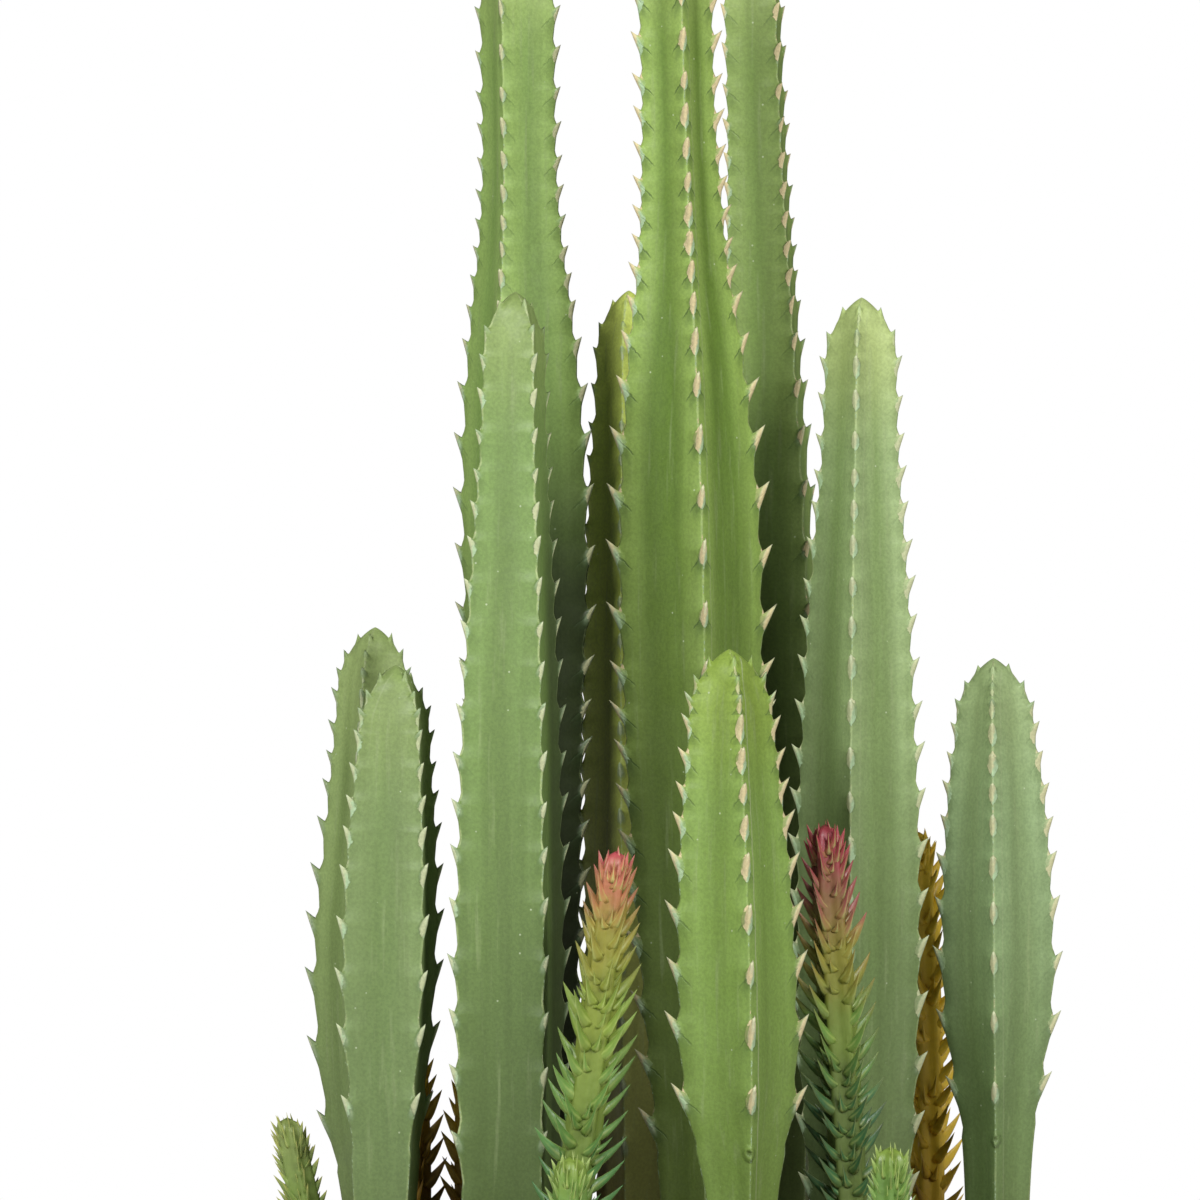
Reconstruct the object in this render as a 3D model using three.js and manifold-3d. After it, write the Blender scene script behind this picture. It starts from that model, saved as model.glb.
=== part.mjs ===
// Potted fairy castle cactus: ribbed green columns of three heights and low leafy shoots,
// standing in a plain clay pot of soil. Millimetres, +Z up, the origin under the pot's base.

import * as THREE from 'three';
import { mergeVertices } from 'three/addons/utils/BufferGeometryUtils.js';
import Module from 'manifold-3d';

// Pot
const POT_HEIGHT = 225;
const POT_BASE_RADIUS = 106;
const POT_BODY_TOP_RADIUS = 146;
const POT_RIM_RADIUS = 155;
const POT_RIM_BAND = 44;
const POT_BAND_TAPER = 1;
const POT_WALL = 12;
const POT_FLOOR = 14;
const POT_EDGE = 3;
const DRAIN_RADIUS = 12;
const POT_SIDES = 48;

// Soil
const SOIL_BELOW_RIM = 18;
const SOIL_Z = POT_HEIGHT - SOIL_BELOW_RIM;
const SOIL_EDGE_DROP = 3;
const SEAT_GAP = 0.3;
const ROOT_DEPTH = 25;
const HOLE_SIDES = 12;
const MERGE_DISTANCE = 1e-4;

// Stems: the ribs fade into a round foot over its rounding, and a low point caps the crown
const FRONT = -90;
const FOOT_ROUNDING = 30;
const FOOT_STEP = 10;
const VALLEY_STEP = 34;
const DOME_STOPS = [0.5, 0.2];
const CROWN_DEPTH = 1.5;
const WIDEST_CREST = 0.6;

// Teeth: how unevenly they stand, as a share of their gap, how that changes from tooth to tooth and
// from rib to rib, and the least room kept round them
const TOOTH_WOBBLE = 0.05;
const WOBBLE_PER_TOOTH = 1.7;
const WOBBLE_PER_RIB = 2.3;
const SHORTEST_LEDGE = 1.5;
const NOTCH_BELOW_CROWN = 0.6;
const PLAIN_BELOW_TEETH = 4;

// Kinds of stem. crest is the width of a rib's crest, valley is how far from the axis the middle of a face
// lies, as a share of the crest's distance, and dome is the depth over which the top rounds off, blunt
// where taper is small. pitch, length and tilt are pairs of depth below the stem's top and the value there:
// the gap from tooth to tooth along a rib, a tooth's length, and how many degrees it points upward.
// first is the depth of the uppermost teeth and bare the height above the soil that has none, root is
// the share of the gap that a tooth's root takes, and spiral is how far the teeth climb from one rib
// to the next, as a share of the gap.
const TALL = {
  ribs: 4, crest: 2.6, valley: 0.64, dome: 22, taper: 0.8, first: 2.5, root: 0.35, spiral: 0, bare: 55,
  pitch: [[0, 7], [12, 11], [30, 15], [48, 16], [62, 12.4], [95, 11.6], [127, 9.6], [148, 15],
    [175, 17.6], [192, 21.5], [245, 21.5], [290, 13.3], [335, 18], [440, 25]],
  length: [[0, 3.2], [140, 3.4], [190, 5.4], [440, 5.8]],
  tilt: [[0, 82], [20, 46], [440, 42]],
};
const MIDDLE = {
  ribs: 4, crest: 2.6, valley: 0.64, dome: 22, taper: 0.8, first: 3, root: 0.35, spiral: 0, bare: 45,
  pitch: [[0, 8], [12, 10], [26, 14.5], [60, 12], [80, 13.5], [120, 15], [200, 18], [330, 25]],
  length: [[0, 3.4], [60, 3.6], [120, 5], [330, 5.6]],
  tilt: [[0, 82], [20, 48], [330, 42]],
};
const SHORT = {
  ribs: 4, crest: 2.6, valley: 0.64, dome: 22, taper: 0.8, first: 2, root: 0.33, spiral: 0, bare: 62,
  pitch: [[0, 6], [13, 7], [22, 11], [46, 11.5], [60, 14], [75, 18], [110, 21.5], [150, 27]],
  length: [[0, 3.2], [50, 4], [90, 5.4], [170, 5.6]],
  tilt: [[0, 82], [18, 50], [170, 45]],
};
const PINK_SHOOT = {
  ribs: 5, crest: 1.8, valley: 0.7, dome: 12, taper: 0.6, first: 1, root: 0.95, spiral: 0.4, bare: 20,
  pitch: [[0, 5], [20, 6.5], [60, 8.5], [170, 9.5]],
  length: [[0, 7], [30, 9.5], [70, 11.5], [170, 12]],
  tilt: [[0, 84], [14, 62], [60, 45], [100, 32], [170, 28]],
};
const GREEN_SHOOT = {
  ribs: 6, crest: 1.6, valley: 0.78, dome: 9, taper: 0.6, first: 1, root: 0.95, spiral: 0.4, bare: 13,
  pitch: [[0, 4], [15, 5.2], [60, 6]],
  length: [[0, 5], [20, 6], [60, 6.5]],
  tilt: [[0, 84], [10, 60], [60, 38]],
};
const BRONZE_SHOOT = {
  ribs: 5, crest: 1.8, valley: 0.66, dome: 12, taper: 0.6, first: 1, root: 0.95, spiral: 0.4, bare: 22,
  pitch: [[0, 5], [20, 7.5], [60, 9.5], [170, 11]],
  length: [[0, 6], [30, 8.5], [80, 10], [170, 11]],
  tilt: [[0, 84], [14, 60], [60, 42], [170, 26]],
};

// The stems. foot and tip are the places of the axis in plan, at the soil and at the top, bow is how far
// to the right its middle strays from the straight line between them, height is above the soil, and turn
// is how many degrees the front rib stands to the right of straight ahead. bite scales the length of the
// stem's teeth. girth gives the rib crests' distance from the axis, without the teeth, as pairs of height
// above the soil and distance.
const STEMS = [
  {
    name: 'column_tall_left', kind: TALL, foot: [-46.5, 58], tip: [-53.5, 58], bow: 0,
    height: 506, turn: -22, bite: 0.7,
    girth: [[0, 12], [45, 15], [110, 19.4], [216, 23], [242, 24.4], [267, 25.2], [308, 24.6],
      [330, 23.2], [348, 21.4], [363, 19.8], [378, 17.7], [393, 16.2], [415, 15.1], [450, 15.1],
      [506, 15]],
  },
  {
    name: 'column_tall_centre', kind: TALL, foot: [13.5, 0], tip: [3.5, -2], bow: 2,
    height: 506, turn: 9, bite: 1,
    girth: [[0, 12], [36, 14], [108, 20], [170, 24], [216, 25.6], [252, 26.2], [290, 25.4], [324, 22.6],
      [344, 20.7], [360, 18.3], [380, 16], [403, 14.7], [430, 13.7], [506, 14.2]],
  },
  {
    name: 'column_tall_right', kind: TALL, foot: [46, 72], tip: [33.5, 70], bow: 1,
    height: 508, turn: 38, bite: 0.65,
    girth: [[0, 12], [45, 14.5], [110, 19], [200, 22.6], [288, 21.3], [328, 19.2], [363, 17.4],
      [386, 15.9], [430, 14.2], [508, 13.6]],
  },
  {
    name: 'column_middle_left', kind: MIDDLE, foot: [-53.5, -52], tip: [-52, -52], bow: -1,
    height: 360, turn: 33, bite: 0.6,
    girth: [[0, 15], [42, 20], [85, 22], [130, 22.6], [160, 21.8], [200, 20.7], [245, 18.3],
      [275, 16.2], [300, 14.4], [326, 13.3], [360, 12.6]],
  },
  {
    name: 'column_middle_rear', kind: MIDDLE, foot: [-10, 84], tip: [-11.5, 82], bow: 0,
    height: 368, turn: -12, bite: 0.5,
    girth: [[0, 12], [50, 15], [130, 18.4], [240, 17.6], [291, 16], [326, 13.4], [368, 11.6]],
  },
  {
    name: 'column_middle_right', kind: MIDDLE, foot: [71.5, 4], tip: [72, 2], bow: -1,
    height: 361, turn: -10, bite: 0.65,
    girth: [[0, 14], [50, 19.4], [90, 21.6], [130, 22.6], [176, 22.2], [201, 21], [245, 18.8],
      [274, 16.8], [292, 15.2], [310, 14.1], [361, 12.4]],
  },
  {
    name: 'column_short_front', kind: SHORT, foot: [28, -76], tip: [22.5, -76], bow: 0,
    height: 235, turn: 11, bite: 0.95,
    girth: [[0, 10], [30, 11], [48, 13.2], [58, 15.2], [72, 18.4], [88, 20.7], [106, 21.4], [134, 20.9],
      [164, 19.6], [190, 17.2], [210, 15.2], [235, 13.8]],
  },
  {
    name: 'column_short_left_rear', kind: SHORT, foot: [-103, 44], tip: [-105, 44], bow: -4,
    height: 242, turn: -14, bite: 0.75,
    girth: [[0, 10], [38, 13.8], [68, 18.4], [98, 20.4], [125, 20.2], [150, 18.3], [175, 16.1],
      [210, 13.9], [242, 13]],
  },
  {
    name: 'column_short_left_front', kind: SHORT, foot: [-98.8, -40], tip: [-94.5, -40], bow: 0,
    height: 229, turn: 37, bite: 0.75,
    girth: [[0, 11], [40, 13.6], [67, 15.6], [90, 18], [115, 20], [140, 20.2], [171, 18.8], [190, 16.8],
      [229, 13.4]],
  },
  {
    name: 'column_short_right', kind: SHORT, foot: [121, 8], tip: [120, 8], bow: 1,
    height: 231, turn: -8, bite: 0.6,
    girth: [[0, 10.5], [40, 11.9], [57, 13], [71, 14.8], [89, 18], [107, 20], [130, 20.4], [158, 19.4],
      [187, 17.1], [201, 14.9], [231, 12.6]],
  },
  {
    name: 'shoot_pink_centre', kind: PINK_SHOOT, foot: [-39, -96], tip: [-16.5, -96], bow: 1.5,
    height: 168, turn: 30, bite: 1,
    girth: [[0, 5.5], [40, 6.6], [110, 7], [140, 6.2], [168, 5]],
  },
  {
    name: 'shoot_pink_right', kind: PINK_SHOOT, foot: [68.5, -42], tip: [57, -42], bow: 0,
    height: 175, turn: 38, bite: 1,
    girth: [[0, 5.5], [40, 6.6], [110, 7.2], [145, 6.6], [175, 5.4]],
  },
  {
    name: 'shoot_green_far_left', kind: GREEN_SHOOT, foot: [-120, -22], tip: [-134, -24], bow: 0,
    height: 70, turn: 10, bite: 1,
    girth: [[0, 5.2], [30, 6.2], [70, 5]],
  },
  {
    name: 'shoot_green_right', kind: GREEN_SHOOT, foot: [78, -90], tip: [77.5, -90], bow: 0,
    height: 66, turn: 0, bite: 1,
    girth: [[0, 5.5], [30, 7.2], [66, 5.6]],
  },
  {
    name: 'shoot_green_centre', kind: GREEN_SHOOT, foot: [-34, -121], tip: [-32, -121], bow: 0,
    height: 66, turn: 20, bite: 1,
    girth: [[0, 5.2], [30, 6.6], [66, 5.4]],
  },
  {
    name: 'shoot_bronze_right', kind: BRONZE_SHOOT, foot: [100, 62], tip: [96, 62], bow: 1,
    height: 168, turn: -30, bite: 1,
    girth: [[0, 5.5], [40, 6.6], [110, 6.6], [168, 5]],
  },
  {
    name: 'shoot_bronze_left', kind: BRONZE_SHOOT, foot: [-90, 6], tip: [-90, 6], bow: 0,
    height: 96, turn: 20, bite: 1,
    girth: [[0, 5.5], [40, 6.8], [96, 5.2]],
  },
  {
    name: 'shoot_bronze_inner', kind: BRONZE_SHOOT, foot: [-67, -4], tip: [-69, -4], bow: 0,
    height: 84, turn: -15, bite: 1,
    girth: [[0, 5.5], [40, 6.6], [84, 5.2]],
  },
];

// Colours and roughness
const CLAY_COLOUR = 0xb5633f;
const CLAY_ROUGHNESS = 0.85;
const SOIL_COLOUR = 0x3a2c21;
const SOIL_ROUGHNESS = 1;
const STEM_ROUGHNESS = 0.45;
const STEM_COLOURS = new Map([
  [TALL, 0x6d9150],
  [MIDDLE, 0x71955a],
  [SHORT, 0x769a5c],
  [PINK_SHOOT, 0x8a8a46],
  [GREEN_SHOOT, 0x6f9440],
  [BRONZE_SHOOT, 0x8a7326],
]);

const radians = THREE.MathUtils.degToRad;
const mix = THREE.MathUtils.lerp;
const wasm = await Module();
wasm.setup();

// Which of the pairs a place lies above; at the far end it is the last but one.
function pairBelow(pairs, place) {
  const passed = pairs.filter(([x]) => x <= place).length;
  return THREE.MathUtils.clamp(passed - 1, 0, pairs.length - 2);
}

// The value at a place between hand-set pairs of place and value, along straight lines.
function along(pairs, at) {
  const place = THREE.MathUtils.clamp(at, pairs[0][0], pairs.at(-1)[0]);
  const i = pairBelow(pairs, place);
  const [[x0, y0], [x1, y1]] = [pairs[i], pairs[i + 1]];
  return mix(y0, y1, (place - x0) / (x1 - x0));
}

// The same along a smooth curve: a cubic between neighbours, with the slope at each pair taken
// from the two pairs beside it.
function smoothAlong(pairs, at) {
  const place = THREE.MathUtils.clamp(at, pairs[0][0], pairs.at(-1)[0]);
  const slope = (k) => {
    const before = pairs[Math.max(k - 1, 0)];
    const after = pairs[Math.min(k + 1, pairs.length - 1)];
    return (after[1] - before[1]) / (after[0] - before[0]);
  };
  const i = pairBelow(pairs, place);
  const [[x0, y0], [x1, y1]] = [pairs[i], pairs[i + 1]];
  const span = x1 - x0;
  const t = (place - x0) / span;
  const rise = t * t * (3 - 2 * t);
  const leave = t * (1 - t) * (1 - t) * span;
  const arrive = t * t * (t - 1) * span;
  return mix(y0, y1, rise) + slope(i) * leave + slope(i + 1) * arrive;
}

// Where the stem's axis is at a height above the soil; below the soil it goes straight down.
function axisAt(stem, height) {
  const share = THREE.MathUtils.clamp(height / stem.height, 0, 1);
  const x = mix(stem.foot[0], stem.tip[0], share) + stem.bow * Math.sin(Math.PI * share);
  return [x, mix(stem.foot[1], stem.tip[1], share)];
}

// How far the rib crests stand from the axis: the girth, rounded off to a dome at the top.
function crestRadius(stem, height) {
  const depth = Math.min(Math.max(stem.height - height, 0) / stem.kind.dome, 1);
  const dome = (1 - (1 - depth) ** 2) ** stem.kind.taper;
  return smoothAlong(stem.girth, height) * dome;
}

// A rib's crest is a narrow band with two edges; side is -1 or +1. Near the soil the ribs fade into a
// round foot, where the band is a twelfth of the way round on a stem of four ribs.
function crestPoint(stem, rib, side, height) {
  const { ribs, crest } = stem.kind;
  const ribbed = THREE.MathUtils.smoothstep(height, 0, FOOT_ROUNDING);
  const radius = crestRadius(stem, height);
  const footHalf = Math.PI / ribs / 3;
  const half = mix(radius * Math.sin(footHalf), Math.min(crest, radius * WIDEST_CREST) / 2, ribbed);
  const reach = mix(radius * Math.cos(footHalf), radius, ribbed);
  return stemPoint(stem, rib, height, reach, side * half);
}

function valleyPoint(stem, rib, height) {
  const ribbed = THREE.MathUtils.smoothstep(height, 0, FOOT_ROUNDING);
  const share = mix(1, stem.kind.valley, ribbed);
  return stemPoint(stem, rib + 0.5, height, crestRadius(stem, height) * share, 0);
}

// A point at a reach out from the axis towards a rib, and a step sideways round the stem.
function stemPoint(stem, rib, height, reach, aside) {
  const angle = radians(FRONT + stem.turn + (360 / stem.kind.ribs) * rib);
  const [x, y] = axisAt(stem, height);
  return new THREE.Vector3(
    x + reach * Math.cos(angle) - aside * Math.sin(angle),
    y + reach * Math.sin(angle) + aside * Math.cos(angle),
    SOIL_Z + height,
  );
}

// The teeth of one rib from the lowest up: the heights of root, notch and tip, and the tip's reach.
function teethOf(stem, rib) {
  const { kind, height } = stem;
  const shift = (rib * kind.spiral) % 1;
  const teeth = [];
  let depth = kind.first + shift * along(kind.pitch, kind.first);
  for (let k = 0; depth < height - kind.bare; k += 1) {
    const gap = along(kind.pitch, depth);
    const length = along(kind.length, depth) * stem.bite;
    const tilt = radians(along(kind.tilt, depth));
    const phase = WOBBLE_PER_TOOTH * k + WOBBLE_PER_RIB * rib + height;
    const wobble = TOOTH_WOBBLE * gap * Math.sin(phase);
    const tip = height - depth + wobble;
    const highest = height - CROWN_DEPTH - NOTCH_BELOW_CROWN;
    const notch = Math.min(tip - length * Math.sin(tilt), highest);
    teeth.push({ tip, notch, root: notch - gap * kind.root, out: length * Math.cos(tilt) });
    depth += gap;
  }
  return teeth.reverse();
}

// The stops up a rib's crest, from the buried end to the crown. A tooth covers the stretch from the
// stop that holds it to the next one.
function crestStops(stem, teeth) {
  const heights = [-ROOT_DEPTH];
  for (let h = 0; h <= FOOT_ROUNDING; h += FOOT_STEP) heights.push(h);
  for (let h = FOOT_ROUNDING + VALLEY_STEP; h < stem.height; h += VALLEY_STEP) heights.push(h);
  const stops = [];
  for (const h of heights) {
    if (h < teeth[0].root - PLAIN_BELOW_TEETH) stops.push({ height: h });
  }
  for (const tooth of teeth) {
    const below = stops.at(-1);
    if (tooth.root < below.height + SHORTEST_LEDGE) below.tooth = tooth;
    else stops.push({ height: tooth.root, tooth });
    stops.push({ height: tooth.notch });
  }
  stops.push({ height: stem.height - CROWN_DEPTH });
  return stops;
}

// The heights of the points up a valley: close together at the foot and in the dome, even between.
function valleyHeights(stem) {
  const { dome } = stem.kind;
  const shoulder = stem.height - dome;
  const steps = Math.max(Math.round((shoulder - FOOT_ROUNDING) / VALLEY_STEP), 1);
  const heights = [-ROOT_DEPTH];
  for (let h = 0; h < FOOT_ROUNDING; h += FOOT_STEP) heights.push(h);
  for (let k = 0; k <= steps; k += 1) heights.push(mix(FOOT_ROUNDING, shoulder, k / steps));
  for (const share of DOME_STOPS) heights.push(stem.height - dome * share);
  heights.push(stem.height - CROWN_DEPTH);
  return heights;
}

// A stem as one closed solid: crest bands with a thorn at each tooth, valleys between them, a flat
// buried end and a pointed crown.
function stemGeometry(stem) {
  const { kind, height } = stem;
  const points = [];
  const faces = [];
  const add = (point) => points.push(point) - 1;
  const line = (heights, place) => heights.map((h) => ({ height: h, index: add(place(h)) }));
  const crests = [];
  const valleys = [];
  for (let rib = 0; rib < kind.ribs; rib += 1) {
    const stops = crestStops(stem, teethOf(stem, rib));
    const heights = stops.map((stop) => stop.height);
    const left = line(heights, (h) => crestPoint(stem, rib, -1, h));
    const right = line(heights, (h) => crestPoint(stem, rib, 1, h));
    for (let i = 0; i < stops.length - 1; i += 1) {
      const corners = [left[i], right[i], right[i + 1], left[i + 1]].map((corner) => corner.index);
      coverCrest(stem, rib, stops[i].tooth, corners, faces, add);
    }
    crests.push({ left, right });
    valleys.push(line(valleyHeights(stem), (h) => valleyPoint(stem, rib, h)));
  }
  crests.forEach(({ right }, rib) => {
    stitch(faces, right, valleys[rib]);
    stitch(faces, valleys[rib], crests[(rib + 1) % kind.ribs].left);
  });
  const buried = new THREE.Vector3(...axisAt(stem, 0), SOIL_Z - ROOT_DEPTH);
  const crown = new THREE.Vector3(...axisAt(stem, height), SOIL_Z + height);
  closeEnd(faces, crests, valleys, 0, add(buried));
  closeEnd(faces, crests, valleys, -1, add(crown));
  return geometryFrom(points, faces);
}

// One stretch of a crest band: two triangles, or a four-sided thorn where a tooth stands on it.
function coverCrest(stem, rib, tooth, corners, faces, add) {
  const [a, b, c, d] = corners;
  if (!tooth) {
    faces.push([a, b, c], [a, c, d]);
    return;
  }
  const reach = crestRadius(stem, tooth.notch) + tooth.out;
  const point = add(stemPoint(stem, rib, tooth.tip, reach, 0));
  faces.push([a, b, point], [b, c, point], [c, d, point], [d, a, point]);
}

// Triangles between two edges that run up the stem side by side, the second one further round.
function stitch(faces, edgeA, edgeB) {
  let a = 0;
  let b = 0;
  while (a < edgeA.length - 1 || b < edgeB.length - 1) {
    const climbA = b === edgeB.length - 1
      || (a < edgeA.length - 1 && edgeA[a + 1].height <= edgeB[b + 1].height);
    const next = climbA ? edgeA[a + 1] : edgeB[b + 1];
    faces.push([edgeA[a].index, edgeB[b].index, next.index]);
    if (climbA) a += 1;
    else b += 1;
  }
}

// A fan of triangles from a middle point to the ring of first (0) or last (-1) points.
function closeEnd(faces, crests, valleys, end, middle) {
  const ring = crests.flatMap(({ left, right }, rib) => [left.at(end), right.at(end), valleys[rib].at(end)]);
  ring.forEach((from, i) => {
    const to = ring[(i + 1) % ring.length];
    faces.push(end === 0 ? [to.index, from.index, middle] : [from.index, to.index, middle]);
  });
}

function geometryFrom(points, faces) {
  const geometry = new THREE.BufferGeometry();
  geometry.setAttribute('position', new THREE.Float32BufferAttribute(points.flatMap((p) => p.toArray()), 3));
  geometry.setIndex(faces.flat());
  return geometry;
}

// The inner wall of the pot is straight, a wall's thickness inside the line from base to rim.
function potInnerRadius(z) {
  return mix(POT_BASE_RADIUS, POT_RIM_RADIUS, z / POT_HEIGHT) - POT_WALL;
}

function turned(outline) {
  const profile = outline.map(([radius, z]) => new THREE.Vector2(radius, z));
  const geometry = new THREE.LatheGeometry(profile, POT_SIDES);
  geometry.rotateX(Math.PI / 2);
  return geometry;
}

function potGeometry() {
  const bandBottom = POT_HEIGHT - POT_RIM_BAND;
  const outline = [
    [DRAIN_RADIUS, 0],
    [POT_BASE_RADIUS - POT_EDGE, 0],
    [POT_BASE_RADIUS, POT_EDGE],
    [POT_BODY_TOP_RADIUS, bandBottom],
    [POT_RIM_RADIUS - POT_EDGE, bandBottom + POT_BAND_TAPER],
    [POT_RIM_RADIUS - POT_BAND_TAPER, bandBottom + POT_EDGE + POT_BAND_TAPER],
    [POT_RIM_RADIUS, POT_HEIGHT - POT_EDGE],
    [POT_RIM_RADIUS - POT_EDGE, POT_HEIGHT],
    [potInnerRadius(POT_HEIGHT) + POT_EDGE, POT_HEIGHT],
    [potInnerRadius(POT_HEIGHT - POT_EDGE), POT_HEIGHT - POT_EDGE],
    [potInnerRadius(POT_FLOOR), POT_FLOOR],
    [DRAIN_RADIUS, POT_FLOOR],
    [DRAIN_RADIUS, 0],
  ];
  return turned(outline);
}

function asManifold(geometry) {
  const bare = geometry.clone();
  bare.deleteAttribute('normal');
  bare.deleteAttribute('uv');
  const merged = mergeVertices(bare, MERGE_DISTANCE);
  const vertProperties = new Float32Array(merged.attributes.position.array);
  const triVerts = new Uint32Array(merged.index.array);
  return new wasm.Manifold(new wasm.Mesh({ numProp: 3, vertProperties, triVerts }));
}

function fromManifold(solid) {
  const { vertProperties, triVerts } = solid.getMesh();
  const geometry = new THREE.BufferGeometry();
  geometry.setAttribute('position', new THREE.Float32BufferAttribute(vertProperties, 3));
  geometry.setIndex([...triVerts]);
  return geometry;
}

// The soil fills the pot to below the rim, a little lower at the wall, with a plain round hole
// for the buried end of each stem.
function soilGeometry() {
  const bottom = POT_FLOOR + SEAT_GAP;
  const edge = SOIL_Z - SOIL_EDGE_DROP;
  const outline = [
    [0, bottom],
    [potInnerRadius(bottom) - SEAT_GAP, bottom],
    [potInnerRadius(edge) - SEAT_GAP, edge],
    [potInnerRadius(edge) - SEAT_GAP - 2 * SOIL_EDGE_DROP, SOIL_Z],
    [0, SOIL_Z],
  ];
  let soil = asManifold(turned(outline));
  for (const stem of STEMS) {
    const radius = (crestRadius(stem, 0) + SEAT_GAP) / Math.cos(Math.PI / HOLE_SIDES);
    const hole = new THREE.CylinderGeometry(radius, radius, ROOT_DEPTH * 2, HOLE_SIDES);
    hole.rotateX(Math.PI / 2);
    hole.translate(stem.foot[0], stem.foot[1], SOIL_Z - SEAT_GAP);
    soil = soil.subtract(asManifold(hole));
  }
  return fromManifold(soil);
}

function piece(name, geometry, colour, roughness) {
  const material = new THREE.MeshStandardMaterial({ color: colour, roughness, metalness: 0 });
  const mesh = new THREE.Mesh(geometry, material);
  mesh.name = name;
  return mesh;
}

const plant = new THREE.Group();
plant.add(piece('pot', potGeometry(), CLAY_COLOUR, CLAY_ROUGHNESS));
plant.add(piece('soil', soilGeometry(), SOIL_COLOUR, SOIL_ROUGHNESS));
for (const stem of STEMS) {
  plant.add(piece(stem.name, stemGeometry(stem), STEM_COLOURS.get(stem.kind), STEM_ROUGHNESS));
}

export default plant;
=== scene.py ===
# %% [markdown]
# # A potted fairy castle cactus
# The real thing is a clump of ribbed green columns with a row of small hooked teeth up every rib,
# a few low leafy shoots between them, and a clay pot of gritty soil. We first load the measured
# model, which fixes where every stem stands and how big it is, and then grow a fine skin in the
# place of each of its solids.

# %% Load the measured model
import math
from collections import namedtuple
from functools import partialmethod
from itertools import combinations

import bpy
import numpy as np
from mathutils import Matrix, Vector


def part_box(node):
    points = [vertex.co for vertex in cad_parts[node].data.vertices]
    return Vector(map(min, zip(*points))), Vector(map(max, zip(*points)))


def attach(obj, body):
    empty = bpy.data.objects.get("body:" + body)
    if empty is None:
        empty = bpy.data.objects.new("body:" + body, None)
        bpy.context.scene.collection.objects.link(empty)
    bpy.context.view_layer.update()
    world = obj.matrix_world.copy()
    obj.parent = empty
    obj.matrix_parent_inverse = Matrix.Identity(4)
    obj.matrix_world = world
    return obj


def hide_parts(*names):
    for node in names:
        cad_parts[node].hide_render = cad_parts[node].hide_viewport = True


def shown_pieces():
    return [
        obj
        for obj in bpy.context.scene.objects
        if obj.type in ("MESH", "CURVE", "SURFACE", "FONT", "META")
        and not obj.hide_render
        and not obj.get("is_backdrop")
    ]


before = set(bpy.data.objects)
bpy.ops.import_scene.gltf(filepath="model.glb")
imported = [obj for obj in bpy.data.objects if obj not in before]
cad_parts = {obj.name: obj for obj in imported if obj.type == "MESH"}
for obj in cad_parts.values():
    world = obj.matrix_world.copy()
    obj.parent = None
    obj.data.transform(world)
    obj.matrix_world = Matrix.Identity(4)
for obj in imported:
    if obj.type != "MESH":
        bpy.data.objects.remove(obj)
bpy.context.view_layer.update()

# %% [markdown]
# ## Units
# A grower measures a cactus in millimetres, so the tables and formulas below are in millimetres.
# Blender works in metres. One factor, used where points enter a mesh, joins the two.

# %% Units and the soil's level
MM = 0.001
SOIL_Z = 207.0
ROOT_DEPTH = 25.0
FRONT = math.radians(-90)

# %% [markdown]
# ## Camera
# The picture was taken level, from far away with a long lens, which keeps the columns parallel.
# A camera two metres in front does the same: its lens is worked out from the width of the view
# there, so the columns come out at their real spacing.

# %% Camera
CAMERA_PLACE = (-0.0223, -2.0, 0.459)
VIEW_WIDTH = 0.432
SENSOR_MM = 36.0

lens = bpy.data.cameras.new("camera")
lens.sensor_width = SENSOR_MM
lens.lens = SENSOR_MM * -CAMERA_PLACE[1] / VIEW_WIDTH
camera = bpy.data.objects.new("camera", lens)
camera.location = CAMERA_PLACE
camera.rotation_euler = (math.radians(90), 0, 0)
bpy.context.scene.collection.objects.link(camera)
bpy.context.scene.camera = camera
bpy.context.scene.view_settings.view_transform = "Standard"
print("lens", round(lens.lens, 1), "mm")

# %% [markdown]
# ## Studio light
# A product photographer stands the plant before white paper with a large soft lamp on each side.
# The lamps stand well to the left and right, because that leaves the gaps between the columns dark
# and shows the hollow faces. The paper is white to the camera but sends little light back, so that
# it doesn't fill those gaps.

# %% Lamps and white surroundings
PLANT_MIDDLE = (0, 0, 0.42)
LAMP_ASIDE, LAMP_BEFORE, LAMP_UP = 1.12, -1.6, 1.5
LAMP_SIZE = 0.8
LAMP_WATTS = 36
BOUNCE = 0.07


def lamp(name, place, tint):
    """A square soft lamp at a place, turned to face the middle of the plant."""
    light = bpy.data.lights.new(name, "AREA")
    light.size = LAMP_SIZE
    light.energy = LAMP_WATTS
    light.color = tint
    holder = bpy.data.objects.new(name, light)
    away = np.subtract(place, PLANT_MIDDLE)
    flat = math.hypot(away[0], away[1])
    holder.location = place
    holder.rotation_euler = (math.atan2(flat, away[2]), 0, math.atan2(away[1], away[0]) + math.pi / 2)
    bpy.context.scene.collection.objects.link(holder)


lamp("lamp_right", (LAMP_ASIDE, LAMP_BEFORE, LAMP_UP), (1.0, 0.99, 0.97))
lamp("lamp_left", (-LAMP_ASIDE, LAMP_BEFORE, LAMP_UP), (0.99, 1.0, 0.98))

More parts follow.
